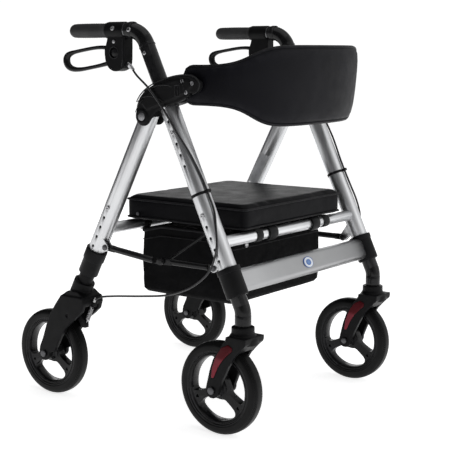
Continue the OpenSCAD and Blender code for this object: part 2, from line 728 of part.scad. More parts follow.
front_leg(1);  // front_leg_l
front_leg(-1);  // front_leg_r
front_sleeves();
front_crossbar();
crossbar_badge();
seat_front_rail();
bracket(1);  // bracket_l
bracket(-1);  // bracket_r
bracket_screws();
fold_bolts();
backrest();
cable_ties();
link_pins_front();
leg_screws_front();
bag();
bag_straps();
cable_upper(1);  // cable_upper_l
cable_upper(-1);  // cable_upper_r
cable_lower(1);  // cable_lower_l
cable_lower(-1);  // cable_lower_r
handle_tube(1);  // handle_tube_l
handle_tube(-1);  // handle_tube_r
grip(1);  // grip_l
grip(-1);  // grip_r
brake_housing(1);  // brake_housing_l
brake_housing(-1);  // brake_housing_r
brake_lever(1);  // brake_lever_l
brake_lever(-1);  // brake_lever_r
rear_leg(1);  // rear_leg_l
rear_leg(-1);  // rear_leg_r
seat_rear_rail();
rear_sleeves();
link_pins_rear();
leg_screws_rear();
rear_fork(1);  // rear_fork_l
rear_fork(-1);  // rear_fork_r
rear_axle(1);  // rear_axle_l
rear_axle(-1);  // rear_axle_r
brake_arm(1);  // brake_arm_l
brake_arm(-1);  // brake_arm_r
brake_spring(1);  // brake_spring_l
brake_spring(-1);  // brake_spring_r
front_stem(1);  // front_stem_l
front_stem(-1);  // front_stem_r
front_fork(1);  // front_fork_l
front_fork(-1);  // front_fork_r
fork_insert(1);  // fork_insert_l
fork_insert(-1);  // fork_insert_r
front_axle(1);  // front_axle_l
front_axle(-1);  // front_axle_r
wheel_front(1);  // wheel_front_l
wheel_front(-1);  // wheel_front_r
wheel_rear(1);  // wheel_rear_l
wheel_rear(-1);  // wheel_rear_r
seat_board();
seat_pad();
link_front(1);  // link_front_l
link_front(-1);  // link_front_r
link_rear(1);  // link_rear_l
link_rear(-1);  // link_rear_r
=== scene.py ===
import json
import math

import bmesh
import bpy
from mathutils import Matrix, Vector, noise
from mathutils.bvhtree import BVHTree


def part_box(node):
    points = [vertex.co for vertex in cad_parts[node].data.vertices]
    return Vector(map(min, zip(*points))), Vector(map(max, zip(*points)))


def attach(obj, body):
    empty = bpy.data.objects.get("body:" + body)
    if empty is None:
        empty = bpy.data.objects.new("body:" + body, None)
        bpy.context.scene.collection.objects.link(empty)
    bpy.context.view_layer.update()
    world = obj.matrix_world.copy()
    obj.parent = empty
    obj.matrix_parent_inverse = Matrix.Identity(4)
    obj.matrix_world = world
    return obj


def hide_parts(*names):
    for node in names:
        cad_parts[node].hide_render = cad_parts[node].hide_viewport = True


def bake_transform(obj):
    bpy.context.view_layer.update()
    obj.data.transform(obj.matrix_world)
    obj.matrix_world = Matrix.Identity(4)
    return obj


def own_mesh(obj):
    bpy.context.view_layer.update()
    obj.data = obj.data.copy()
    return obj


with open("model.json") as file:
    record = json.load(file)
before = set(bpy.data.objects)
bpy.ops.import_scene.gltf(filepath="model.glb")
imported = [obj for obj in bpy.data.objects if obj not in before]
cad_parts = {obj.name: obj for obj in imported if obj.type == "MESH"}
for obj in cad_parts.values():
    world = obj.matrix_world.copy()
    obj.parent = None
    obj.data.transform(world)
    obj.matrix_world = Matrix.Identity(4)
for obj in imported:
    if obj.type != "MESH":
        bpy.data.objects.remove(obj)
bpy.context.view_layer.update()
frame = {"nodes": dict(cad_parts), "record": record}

# ---------------------------------------------------------------- sizes, in metres, from the frame
record = frame["record"]
BODIES = record["behaviour"]["bodies"]
BODY_OF = {node: body for body, nodes in BODIES.items() for node in nodes}


def middle(node):
    low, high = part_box(node)
    return (low + high) / 2


LEG_X = middle("front_leg_l").x
GRIP = middle("grip_r")
GRIP_Z = GRIP.z
FRONT_TILT = math.radians(25.2)
REAR_TILT = math.radians(27.6)
CORNER = Vector((-LEG_X, -0.036, GRIP_Z))
PIVOT = Vector((-LEG_X, -0.056, 0.66))
SEAT_LOW, SEAT_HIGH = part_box("seat_pad")
BAG_LOW, BAG_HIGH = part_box("bag")
WHEEL_R = middle("wheel_front_r").z
WHEELS = {n: middle("wheel_" + n) for n in ("front_l", "front_r", "rear_l", "rear_r")}
FRONT_RAIL = middle("seat_front_rail")
REAR_RAIL = middle("seat_rear_rail")
RAIL_R = (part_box("seat_front_rail")[1].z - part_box("seat_front_rail")[0].z) / 2

FRONT_LEG = Matrix.Translation(CORNER) @ Matrix.Rotation(-FRONT_TILT, 4, "X")
REAR_LEG = Matrix.Translation(PIVOT) @ Matrix.Rotation(REAR_TILT, 4, "X")
ALONG_X = Matrix.Rotation(math.pi / 2, 4, "Y")
ALONG_Y = Matrix.Rotation(-math.pi / 2, 4, "X")

# ---------------------------------------------------------------- camera
YAW, PITCH = 0.91903, 0.15114
camera_data = bpy.data.cameras.new("view")
camera_data.lens = 91.69
camera_data.sensor_width = 36.0
camera_data.shift_x = 0.0108
camera_data.shift_y = -0.0005
camera_data.clip_end = 60.0
camera = bpy.data.objects.new("view", camera_data)
camera.location = (-2.1202, -1.6632, 0.7976)
camera.rotation_euler = (math.pi / 2 - PITCH, 0.0, -YAW)
bpy.context.scene.collection.objects.link(camera)
bpy.context.scene.camera = camera


# ---------------------------------------------------------------- floor and light
def add_light(name, at, aim, size, power, tint=(1, 1, 1)):
    data = bpy.data.lights.new(name, "AREA")
    data.shape = "RECTANGLE"
    data.size, data.size_y = size
    data.energy = power
    data.color = tint
    lamp = bpy.data.objects.new(name, data)
    lamp.location = at
    lamp.rotation_euler = (Vector(aim) - Vector(at)).to_track_quat("-Z", "Y").to_euler()
    bpy.context.scene.collection.objects.link(lamp)
    return lamp


bpy.context.scene.view_settings.view_transform = "Standard"
add_light("front_softbox", (0.9, -2.6, 1.5), (0, 0, 0.45), (1.4, 2.2), 5)
add_light("top_softbox", (-0.2, 0.0, 3.1), (0, 0, 0.3), (2.4, 2.4), 15)
add_light("back_softbox", (2.6, 1.95, 0.95), (0, 0, 0.5), (2.4, 1.3), 13)

world = bpy.data.worlds.new("studio")
world.use_nodes = True
bpy.context.scene.world = world
sky = world.node_tree
sky.nodes.clear()
sky_out = sky.nodes.new("ShaderNodeOutputWorld")
white = sky.nodes.new("ShaderNodeBackground")
white.inputs["Color"].default_value = (1, 1, 1, 1)
white.inputs["Strength"].default_value = 1.05
room = sky.nodes.new("ShaderNodeBackground")
room.inputs["Strength"].default_value = 0.8
rays = sky.nodes.new("ShaderNodeLightPath")
pick = sky.nodes.new("ShaderNodeMixShader")
where = sky.nodes.new("ShaderNodeTexCoord")
toward = sky.nodes.new("ShaderNodeVectorMath")
toward.operation = "DOT_PRODUCT"
toward.inputs[1].default_value = (0.62, -0.75, 0.2)
tone = sky.nodes.new("ShaderNodeValToRGB")
tone.color_ramp.elements[0].position = 0.5
tone.color_ramp.elements[0].color = (0.11, 0.11, 0.114, 1)
tone.color_ramp.elements[1].position = 0.93
tone.color_ramp.elements[1].color = (1, 1, 1, 1)
half = sky.nodes.new("ShaderNodeMath")
half.operation = "MULTIPLY_ADD"
half.inputs[1].default_value = 0.5
half.inputs[2].default_value = 0.5
sky.links.new(where.outputs["Generated"], toward.inputs[0])
sky.links.new(toward.outputs["Value"], half.inputs[0])
sky.links.new(half.outputs[0], tone.inputs["Fac"])
sky.links.new(tone.outputs["Color"], room.inputs["Color"])
sky.links.new(rays.outputs["Is Camera Ray"], pick.inputs["Fac"])
sky.links.new(room.outputs[0], pick.inputs[1])
sky.links.new(white.outputs[0], pick.inputs[2])
sky.links.new(pick.outputs[0], sky_out.inputs["Surface"])


# ---------------------------------------------------------------- materials
class Finish:
    """A Principled material with helpers for procedural detail in the row frame's own metres."""

    def __init__(self, name, colour, rough, metal=0.0, coat=0.0, sheen=0.0, spec=0.5, turn=(0, 0, 0)):
        self.material = bpy.data.materials.new(name)
        self.material.use_nodes = True
        self.tree = self.material.node_tree
        self.shader = self.tree.nodes["Principled BSDF"]
        self.shader.inputs["Base Color"].default_value = (*colour, 1)
        self.shader.inputs["Roughness"].default_value = rough
        self.shader.inputs["Metallic"].default_value = metal
        self.shader.inputs["Coat Weight"].default_value = coat
        self.shader.inputs["Coat Roughness"].default_value = 0.12
        self.shader.inputs["Sheen Weight"].default_value = sheen
        self.shader.inputs["Sheen Roughness"].default_value = 0.5
        self.shader.inputs["Specular IOR Level"].default_value = spec
        self.where = self.tree.nodes.new("ShaderNodeTexCoord").outputs["Object"]
        if any(turn):
            spin = self.tree.nodes.new("ShaderNodeMapping")
            spin.inputs["Rotation"].default_value = turn
            self.join(self.where, spin.inputs["Vector"])
            self.where = spin.outputs["Vector"]
        self.bump_from = None

    def join(self, out, into):
        self.tree.links.new(out, into)

    def stretched(self, scale):
        node = self.tree.nodes.new("ShaderNodeMapping")
        node.inputs["Scale"].default_value = scale
        self.join(self.where, node.inputs["Vector"])
        return node.outputs["Vector"]

    def noise(self, scale, detail=3.0, stretch=None):
        node = self.tree.nodes.new("ShaderNodeTexNoise")
        node.inputs["Scale"].default_value = scale
        node.inputs["Detail"].default_value = detail
        self.join(self.stretched(stretch) if stretch else self.where, node.inputs["Vector"])
        return node.outputs["Fac"]

    def cells(self, scale, feature="F1", stretch=None):
        node = self.tree.nodes.new("ShaderNodeTexVoronoi")
        node.feature = feature
        node.inputs["Scale"].default_value = scale
        self.join(self.stretched(stretch) if stretch else self.where, node.inputs["Vector"])
        return node.outputs["Distance"]

    def bands(self, scale, direction, distort=0.0):
        node = self.tree.nodes.new("ShaderNodeTexWave")
        node.bands_direction = direction
        node.inputs["Scale"].default_value = scale
        node.inputs["Distortion"].default_value = distort
        self.join(self.where, node.inputs["Vector"])
        return node.outputs["Fac"]

    def ramp(self, source, stops):
        node = self.tree.nodes.new("ShaderNodeValToRGB")
        edge = node.color_ramp.elements
        while len(edge) < len(stops):
            edge.new(0.5)
        for spot, (at, colour) in zip(edge, stops):
            spot.position = at
            spot.color = (*colour, 1) if len(colour) == 3 else colour
        self.join(source, node.inputs["Fac"])
        return node.outputs["Color"]

    def spread(self, source, low, high):
        node = self.tree.nodes.new("ShaderNodeMapRange")
        node.inputs["From Min"].default_value = 0.3
        node.inputs["From Max"].default_value = 0.7
        node.inputs["To Min"].default_value = low
        node.inputs["To Max"].default_value = high
        self.join(source, node.inputs["Value"])
        return node.outputs["Result"]

    def mixed(self, fac, a, b, blend="MIX"):
        node = self.tree.nodes.new("ShaderNodeMix")
        node.data_type = "RGBA"
        node.blend_type = blend
        for value, socket in ((fac, node.inputs[0]), (a, node.inputs[6]), (b, node.inputs[7])):
            if isinstance(value, (int, float)):
                socket.default_value = value
            elif isinstance(value, tuple):
                socket.default_value = (*value, 1)
            else:
                self.join(value, socket)
        return node.outputs[2]

    def math(self, kind, a, b=None):
        node = self.tree.nodes.new("ShaderNodeMath")
        node.operation = kind
        for value, socket in ((a, node.inputs[0]), (b, node.inputs[1])):
            if isinstance(value, (int, float)):
                socket.default_value = value
            elif value is not None:
                self.join(value, socket)
        return node.outputs[0]

    def edge(self, low=0.51, high=0.58):
        """Worn, lighter edges, from how sharply the surface turns."""
        geometry = self.tree.nodes.new("ShaderNodeNewGeometry")
        node = self.tree.nodes.new("ShaderNodeMapRange")
        node.inputs["From Min"].default_value = low
        node.inputs["From Max"].default_value = high
        self.join(geometry.outputs["Pointiness"], node.inputs["Value"])
        return node.outputs["Result"]

    def axis(self, which):
        node = self.tree.nodes.new("ShaderNodeSeparateXYZ")
        self.join(self.where, node.inputs[0])
        return node.outputs[which]

    def colour(self, source):
        self.join(source, self.shader.inputs["Base Color"])

    def rough(self, source):
        self.join(source, self.shader.inputs["Roughness"])

    def bump(self, height, depth):
        node = self.tree.nodes.new("ShaderNodeBump")
        node.inputs["Strength"].default_value = 1.0
        node.inputs["Distance"].default_value = depth
        self.join(height, node.inputs["Height"])
        if self.bump_from:
            self.join(self.bump_from, node.inputs["Normal"])
        self.bump_from = node.outputs["Normal"]
        self.join(self.bump_from, self.shader.inputs["Normal"])


def tinted(finish, base, spread_by, scale, worn=None, detail=3.0):
    """Base colour that drifts lighter and darker, with worn edges."""
    low = tuple(c * (1 - spread_by) for c in base)
    high = tuple(c * (1 + spread_by) for c in base)
    tint = finish.ramp(finish.noise(scale, detail), [(0.3, low), (0.7, high)])
    if worn:
        fac = finish.math("MULTIPLY", finish.edge(), finish.spread(finish.noise(60), 0.1, 0.9))
        tint = finish.mixed(fac, tint, worn)
    finish.colour(tint)


def silver_finish(name, turn=(0, 0, 0), across=(1, 1, 0.02), depth=1.0):
    """Satin anodised tube: fine drawing lines along its length and a faint cloudiness."""
    f = Finish(name, (0.74, 0.75, 0.77), 0.34, metal=1.0, turn=turn)
    lines = f.noise(900, 2.0, stretch=across)
    f.colour(f.mixed(f.spread(f.noise(14, 4.0), 0.0, 1.0), tuple(c * depth for c in (0.74, 0.745, 0.76)),
                     tuple(c * depth for c in (0.79, 0.80, 0.81))))
    f.rough(f.math("ADD", f.spread(lines, 0.31, 0.39), f.spread(f.noise(22, 4.0), -0.02, 0.03)))
    f.bump(lines, 0.000012)
    return f.material


def hard_finish(name, base, rough, grain, depth, worn, coat=0.0, spec=0.5):
    """Moulded or coated black part: grain of a given scale, handling marks and rubbed edges."""
    f = Finish(name, base, rough, coat=coat, spec=spec)
    tinted(f, base, 0.25, 35, worn)
    f.rough(f.math("ADD", f.spread(f.noise(48, 5.0), rough - 0.06, rough + 0.06),
                   f.spread(f.noise(6, 2.0), -0.03, 0.04)))
    f.bump(f.noise(grain, 2.0), depth)
    f.bump(f.noise(30, 2.0), depth * 3)
    return f.material


def metal_finish(name, base, rough):
    f = Finish(name, base, rough, metal=1.0)
    tinted(f, base, 0.14, 180)
    f.rough(f.spread(f.noise(300, 4.0), rough - 0.07, rough + 0.1))
    f.bump(f.noise(700, 2.0), 0.00003)
    return f.material


def woven_finish(name, base, rough, pitch, depth, sheen, worn=None, drift=0.25):
    """Plain weave: two crossed sets of threads, with slubs and a little fading."""
    f = Finish(name, base, rough, sheen=sheen, spec=0.05)
    scale = 1.0 / pitch / 3.1
    warp = f.math("ADD", f.bands(scale, "X", 0.4), f.bands(scale, "Y", 0.4))
    weave = f.math("MULTIPLY", warp, f.math("ADD", f.bands(scale, "Z", 0.4), 0.35))
    tinted(f, base, drift, 20, worn)
    f.rough(f.spread(f.noise(90, 4.0), rough - 0.07, rough + 0.07))
    f.bump(weave, depth)
    f.bump(f.noise(55, 3.0), depth * 3)
    return f.material


SILVER_FRONT = silver_finish("silver_front", (FRONT_TILT, 0, 0), depth=0.86)
SILVER_REAR = silver_finish("silver_rear", (-REAR_TILT, 0, 0), depth=0.86)
SILVER_CROSS = silver_finish("silver_cross", across=(0.02, 1, 1))
# front crossbar's copy of the silver, its colour scaled down to 0.52: painted shade that makes it darker than
# the other tubes
SHADED_SILVER_BAR = silver_finish("silver_bar_painted_shade", across=(0.02, 1, 1), depth=0.52)
BLACK_METAL = hard_finish("black_powder_coat", (0.007, 0.007, 0.0075), 0.2, 900, 0.00002,
                          (0.03, 0.03, 0.032), coat=0.22, spec=0.12)
BLACK_PLASTIC = hard_finish("black_moulded", (0.006, 0.006, 0.0065), 0.42, 1400, 0.00004,
                            (0.02, 0.02, 0.022), spec=0.1)
GLOSS_PLASTIC = hard_finish("black_gloss_moulded", (0.006, 0.006, 0.0065), 0.24, 1100, 0.00002,
                            (0.03, 0.03, 0.032), coat=0.05, spec=0.16)
GRIP_RUBBER = hard_finish("grip_rubber", (0.030, 0.030, 0.031), 0.58, 1600, 0.00008,
                          (0.05, 0.05, 0.052), spec=0.3)
TYRE = hard_finish("tyre_rubber", (0.005, 0.005, 0.0052), 0.36, 1300, 0.00005,
                   (0.02, 0.02, 0.02), spec=0.13)
CABLE = hard_finish("cable_sheath", (0.007, 0.007, 0.008), 0.33, 1500, 0.00003, (0.03, 0.03, 0.033))
STEEL = metal_finish("plated_steel", (0.52, 0.52, 0.53), 0.3)
DARK_STEEL = metal_finish("blackened_steel", (0.10, 0.10, 0.105), 0.34)
GREY_TUBE = metal_finish("plated_tube", (0.27, 0.27, 0.28), 0.34)
BAG_CLOTH = woven_finish("bag_nylon", (0.0035, 0.0035, 0.004), 0.6, 0.0011, 0.00006, 0.01)
WEBBING = woven_finish("strap_webbing", (0.008, 0.008, 0.009), 0.6, 0.0016, 0.00014, 0.1,
                       (0.03, 0.03, 0.03))
PIPING = woven_finish("edge_piping", (0.007, 0.007, 0.0075), 0.42, 0.0012, 0.00004, 0.05,
                      (0.03, 0.03, 0.033))
LABEL = hard_finish("blank_label", (0.5, 0.51, 0.53), 0.35, 900, 0.00002, (0.6, 0.6, 0.6))
LIGHT_PLASTIC = hard_finish("pale_ferrule", (0.62, 0.62, 0.62), 0.3, 900, 0.00002, (0.7, 0.7, 0.7))


def vinyl_finish():
    f = Finish("seat_vinyl", (0.0045, 0.0045, 0.0055), 0.4, spec=0.06, sheen=0.0)
    tinted(f, (0.0045, 0.0045, 0.0055), 0.2, 16, (0.03, 0.03, 0.033))
    grain = f.cells(620, "SMOOTH_F1")
    f.rough(f.math("ADD", f.spread(f.noise(28, 4.0), 0.34, 0.44), f.math("MULTIPLY", grain, 0.12)))
    f.bump(grain, 0.00016)
    f.bump(f.noise(1500, 2.0), 0.00004)
    f.bump(f.noise(24, 4.0), 0.0010)
    return f.material


def back_finish():
    f = Finish("back_cover", (0.005, 0.005, 0.007), 0.40, sheen=0.0, spec=0.07)
    tinted(f, (0.005, 0.005, 0.007), 0.15, 12, (0.03, 0.03, 0.034))
    knit = f.math("MULTIPLY", f.bands(260, "X", 0.6), f.bands(260, "Z", 0.6))
    f.rough(f.spread(f.noise(40, 4.0), 0.36, 0.46))
    f.bump(knit, 0.00006)
    f.bump(f.noise(1200, 2.0), 0.00005)
    f.bump(f.noise(11, 2.0), 0.0012)
    return f.material


def insert_finish():
    """Deep red at the top of the inlay, paler and softer toward its tip."""
    f = Finish("inlay_red", (0.12, 0.01, 0.02), 0.34, spec=0.12)
    height = f.axis("Z")
    low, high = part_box("fork_insert_r")
    node = f.tree.nodes.new("ShaderNodeMapRange")
    node.inputs["From Min"].default_value = low.z
    node.inputs["From Max"].default_value = high.z
    f.join(height, node.inputs["Value"])
    split = f.math("ADD", node.outputs["Result"], f.spread(f.noise(90), -0.03, 0.03))
    f.colour(f.ramp(split, [(0.0, (0.22, 0.022, 0.036)), (0.52, (0.20, 0.026, 0.038)),
                            (0.60, (0.085, 0.003, 0.007)),
                            (1.0, (0.06, 0.002, 0.005))]))
    f.rough(f.spread(f.noise(120, 4.0), 0.26, 0.42))
    f.bump(f.noise(900, 2.0), 0.00004)
    return f.material


BADGE_HALF = (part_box("crossbar_badge")[1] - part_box("crossbar_badge")[0]) / 2


def badge_finish():
    """Plain blue oval with a pale rim."""
    f = Finish("badge_enamel", (0.05, 0.12, 0.35), 0.2, coat=0.6)
    at = middle("crossbar_badge")
    across = f.math("DIVIDE", f.axis("X"), BADGE_HALF.x)
    rise = f.math("DIVIDE", f.math("SUBTRACT", f.axis("Z"), at.z), BADGE_HALF.z)
    radius = f.math("SQRT", f.math("ADD", f.math("POWER", across, 2.0), f.math("POWER", rise, 2.0)))
    f.colour(f.ramp(radius, [(0.0, (0.10, 0.25, 0.55)), (0.50, (0.05, 0.14, 0.42)),
                             (0.56, (0.75, 0.80, 0.86)), (0.84, (0.75, 0.80, 0.86)),
                             (0.90, (0.03, 0.10, 0.36)), (1.0, (0.03, 0.10, 0.36))]))
    f.rough(f.spread(f.noise(200, 3.0), 0.14, 0.28))
    f.bump(f.noise(700, 2.0), 0.00003)
    return f.material


SEAT_VINYL = vinyl_finish()
BACK_COVER = back_finish()
INSERT_RED = insert_finish()
BADGE_BLUE = badge_finish()


# ---------------------------------------------------------------- mesh helpers
def finish_mesh(mesh, sharp=38):
    mesh.shade_smooth()
    mesh.set_sharp_from_angle(angle=math.radians(sharp))


def place(name, mesh, material, body, nodes=(), sharp=38):
    mesh.materials.clear()
    mesh.materials.append(material)
    finish_mesh(mesh, sharp)
    obj = bpy.data.objects.new(name, mesh)
    bpy.context.scene.collection.objects.link(obj)
    if body:
        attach(obj, body)
    if nodes:
        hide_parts(*nodes)
    return obj


def mirrored(mesh, name):
    copy = mesh.copy()
    copy.name = name
    work = bmesh.new()
    work.from_mesh(copy)
    for v in work.verts:
        v.co.x = -v.co.x
    bmesh.ops.reverse_faces(work, faces=work.faces)
    work.to_mesh(copy)
    work.free()
    return copy


def pair(name, mesh, material, body, node=None, sharp=38):
    """The right-hand piece as drawn, and its mirror image on the left.

    body takes _r and _l unless the frame has it plain; node always takes them.
    """
    made = []
    for end, shape in (("_r", mesh), ("_l", mirrored(mesh, name + "_l"))):
        on = body + end if body + end in BODIES else body
        stands = [node + end] if node else []
        made.append(place(name + end, shape, material, on, stands, sharp))
    return made


def build(name, verts, faces):
    mesh = bpy.data.meshes.new(name)
    mesh.from_pydata([tuple(v) for v in verts], [], faces)
    work = bmesh.new()
    work.from_mesh(mesh)
    bmesh.ops.remove_doubles(work, verts=work.verts, dist=1e-6)
    bmesh.ops.recalc_face_normals(work, faces=work.faces)
    work.to_mesh(mesh)
    work.free()
    return mesh


def joined(name, meshes):
    work = bmesh.new()
    for m in meshes:
        work.from_mesh(m)
    out = bpy.data.meshes.new(name)
    work.to_mesh(out)
    work.free()
    return out


def loft(name, rings, closed=False, caps=True):
    """Skin through rings of equal point counts."""
    n = len(rings[0])
    verts = [p for ring in rings for p in ring]
    faces = []
    for i in range(len(rings) if closed else len(rings) - 1):
        for k in range(n):
            j = (i + 1) % len(rings)
            faces.append((i * n + k, i * n + (k + 1) % n, j * n + (k + 1) % n, j * n + k))
    if caps and not closed:
        faces.append(tuple(range(n - 1, -1, -1)))
        faces.append(tuple((len(rings) - 1) * n + k for k in range(n)))
    return build(name, verts, faces)


def lathe(name, profile, matrix, around=48, closed=True):
    """Turned shape: (radius, height) points, closed into a ring or ending on the axis."""
    rings = [[matrix @ Vector((r * math.cos(a), r * math.sin(a), h)) for r, h in profile]
             for a in (2 * math.pi * i / around for i in range(around))]
    n = len(profile)
    verts = [p for ring in rings for p in ring]
    faces = []
    for i in range(around):
        j = (i + 1) % around
        for k in range(n if closed else n - 1):
            m = (k + 1) % n
            faces.append((i * n + k, j * n + k, j * n + m, i * n + m))
    return build(name, verts, faces)


def tube(name, path, radius, around=12, caps=True):
    """Round tube along a path; radius may be a function of how far along it is, 0 to 1."""
    rings = []
    count = len(path)
    side = None
    for i, p in enumerate(path):
        tangent = (path[min(i + 1, count - 1)] - path[max(i - 1, 0)]).normalized()
        if side is None:
            side = tangent.orthogonal().normalized()
        side = (side - tangent * side.dot(tangent)).normalized()
        other = tangent.cross(side)
        r = radius(i / (count - 1)) if callable(radius) else radius
        rings.append([p + (side * math.cos(a) + other * math.sin(a)) * r
                      for a in (2 * math.pi * k / around for k in range(around))])
    return loft(name, rings, caps=caps)


def ring_tube(name, path, radius, around=10):
    """Round tube along a closed path."""
    rings = []
    count = len(path)
    side = None
    for i, p in enumerate(path):
        tangent = (path[(i + 1) % count] - path[i - 1]).normalized()
        if side is None:
            side = tangent.orthogonal().normalized()
        side = (side - tangent * side.dot(tangent)).normalized()
        other = tangent.cross(side)
        rings.append([p + (side * math.cos(a) + other * math.sin(a)) * radius
                      for a in (2 * math.pi * k / around for k in range(around))])
    return loft(name, rings, closed=True)


def strap(name, path, across, width, thick):
    """Flat webbing along a path, with across the direction of its width."""
    rings = []
    count = len(path)
    across = Vector(across).normalized()
    outline = [(-0.5, -0.3), (-0.46, -0.5), (0.46, -0.5), (0.5, -0.3),
               (0.5, 0.3), (0.46, 0.5), (-0.46, 0.5), (-0.5, 0.3)]
    for i, p in enumerate(path):
        tangent = (path[min(i + 1, count - 1)] - path[max(i - 1, 0)]).normalized()
        normal = tangent.cross(across).normalized()
        rings.append([p + across * (u * width) + normal * (v * thick) for u, v in outline])
    return loft(name, rings)


def prism(name, outline, x0, x1):
    """Plate with a (y, z) outline between two x planes."""
    return loft(name, [[Vector((x0, y, z)) for y, z in outline], [Vector((x1, y, z)) for y, z in outline]])


def smooth_path(points, steps):
    """Smooth curve through the points."""
    out = []
    for i in range(len(points) - 1):
        a, b = points[max(i - 1, 0)], points[i]
        c, d = points[i + 1], points[min(i + 2, len(points) - 1)]
        for k in range(steps):
            t = k / steps
            out.append(0.5 * (2 * b + (c - a) * t + (2 * a - 5 * b + 4 * c - d) * t * t
                              + (3 * b - a - 3 * c + d) * t ** 3))
    return out + [points[-1].copy()]


def circle(centre, radius, start, end, steps):
    """(y, z) points on an arc, in degrees."""
    return [(centre[0] + radius * math.cos(math.radians(start + (end - start) * i / steps)),
             centre[1] + radius * math.sin(math.radians(start + (end - start) * i / steps)))
            for i in range(steps + 1)]


def cad_mesh(node, name):
    """A welded copy of a CAD node's mesh, with its flat faces joined."""
    mesh = frame["nodes"][node].data.copy()
    mesh.name = name
    work = bmesh.new()
    work.from_mesh(mesh)
    bmesh.ops.remove_doubles(work, verts=work.verts, dist=2e-6)
    bmesh.ops.dissolve_limit(work, angle_limit=math.radians(0.4), verts=work.verts, edges=work.edges)
    work.to_mesh(mesh)
    work.free()
    return mesh


def evaluated(obj):
    graph = bpy.context.evaluated_depsgraph_get()
    graph.update()
    return bpy.data.meshes.new_from_object(obj.evaluated_get(graph))


def with_modifiers(mesh, *settings):
    """The mesh after a stack of modifiers."""
    obj = bpy.data.objects.new("work", mesh)
    bpy.context.scene.collection.objects.link(obj)
    for kind, values in settings:
        mod = obj.modifiers.new(kind, kind)
        for key, value in values.items():
            setattr(mod, key, value)
    out = evaluated(obj)
    bpy.data.objects.remove(obj)
    return out


def edged(mesh, width, segments=2, limit=40):
    return with_modifiers(mesh, ("BEVEL", dict(width=width, segments=segments, limit_method="ANGLE",
                                               angle_limit=math.radians(limit), use_clamp_overlap=True,
                                               harden_normals=False)))


def moulded(mesh, voxel, rounds):
    """A moulding: every edge and inner corner rounded over."""
    return with_modifiers(mesh, ("REMESH", dict(mode="VOXEL", voxel_size=voxel, adaptivity=0.0)),
                          ("SMOOTH", dict(factor=0.5, iterations=rounds)))


def cut(mesh, cutters):
    """The mesh with closed cutters taken away."""
    obj = bpy.data.objects.new("work", mesh)
    bpy.context.scene.collection.objects.link(obj)
    knives = []
    for k, m in enumerate(cutters):
        knife = bpy.data.objects.new(f"knife{k}", m)
        bpy.context.scene.collection.objects.link(knife)
        mod = obj.modifiers.new(f"cut{k}", "BOOLEAN")
        mod.operation = "DIFFERENCE"
        mod.solver = "EXACT"
        mod.object = knife
        knives.append(knife)
    out = evaluated(obj)
    for o in knives + [obj]:
        bpy.data.objects.remove(o)
    return out


def bolt_head(name, at, outward, radius, height):
    """Domed hexagon-socket head whose axis points outward."""
    spin = Vector((0, 0, 1)).rotation_difference(Vector(outward)).to_matrix().to_4x4()
    m = Matrix.Translation(at) @ spin
    s = radius * 0.45
    profile = [(0.0, height * 0.35), (s, height * 0.35), (s, height), (radius * 0.7, height * 0.98),
               (radius * 0.93, height * 0.8), (radius, height * 0.45), (radius, 0.0), (0.0, 0.0)]
    return lathe(name, profile, m, 24, closed=False)


# ---------------------------------------------------------------- carried-over CAD parts
def refined(node, material, width=0.0005, sharp=38, segments=2):
    mesh = edged(cad_mesh(node, node + "_finish"), width, segments)
    return place(node + "_finish", mesh, material, BODY_OF[node], [node], sharp)


for node, material, slot, width in (
        ("front_leg", SILVER_FRONT, "silver_tube", 0.0006), ("rear_leg", SILVER_REAR, "silver_tube", 0.0006),
        ("handle_tube", BLACK_METAL, "gloss_black", 0.0004), ("front_stem", BLACK_METAL, "gloss_black", 0.0004),
        ("link_front", BLACK_METAL, "gloss_black", 0.0006), ("link_rear", BLACK_METAL, "gloss_black", 0.0006),
        ("brake_arm", BLACK_PLASTIC, "black_plastic", 0.0010), ("front_axle", DARK_STEEL, "bolt_steel", 0.0010),
        ("rear_axle", DARK_STEEL, "bolt_steel", 0.0010)):
    for end in ("_l", "_r"):
        refined(node + end, material, width)
for node, material, slot, width in (
        ("front_crossbar", SHADED_SILVER_BAR, "silver_tube", 0.0005),
        ("seat_front_rail", SILVER_CROSS, "silver_tube", 0.0005),
        ("seat_rear_rail", SILVER_CROSS, "silver_tube", 0.0005),
        ("crossbar_badge", BADGE_BLUE, "badge", 0.0005),
        ("seat_board", BLACK_PLASTIC, "black_plastic", 0.0012),
        ("cable_ties", BLACK_PLASTIC, "black_plastic", 0.0006),
        ("fold_bolts", GREY_TUBE, "bolt_steel", 0.0009), ("link_pins_front", DARK_STEEL, "bolt_steel", 0.0007),
        ("link_pins_rear", DARK_STEEL, "bolt_steel", 0.0007), ("leg_screws_front", STEEL, "bolt_steel", 0.0006),
        ("leg_screws_rear", STEEL, "bolt_steel", 0.0006), ("bracket_screws", GREY_TUBE, "bolt_steel", 0.0005)):
    refined(node, material, width)
for node in ("front_sleeves", "rear_sleeves"):
    refined(node, BLACK_PLASTIC, 0.0012, segments=3)

# moulded parts: drawn once, mirrored for the other side
pair("bracket_finish", moulded(cad_mesh("bracket_r", "bracket"), 0.0014, 5), BLACK_PLASTIC, "front_frame",
     "bracket")
pair("rear_fork_finish", moulded(cad_mesh("rear_fork_r", "rear_fork"), 0.0014, 6), BLACK_PLASTIC, "rear_foot",
     "rear_fork")
pair("front_fork_finish", moulded(cad_mesh("front_fork_r", "front_fork"), 0.0014, 6), BLACK_PLASTIC, "caster",
     "front_fork")
pair("fork_inlay", edged(cad_mesh("fork_insert_r", "fork_inlay"), 0.0012, 3), INSERT_RED, "caster",
     "fork_insert")

# the same inlay on the inner arm of each fork, mirrored about the wheel's plane
inner_inlay = edged(cad_mesh("fork_insert_r", "fork_inlay_inner"), 0.0012, 3)
for v in inner_inlay.vertices:
    v.co.x = -2 * LEG_X - v.co.x + 0.0006
inner_inlay.flip_normals()
pair("fork_inlay_inner", inner_inlay, INSERT_RED, "caster")


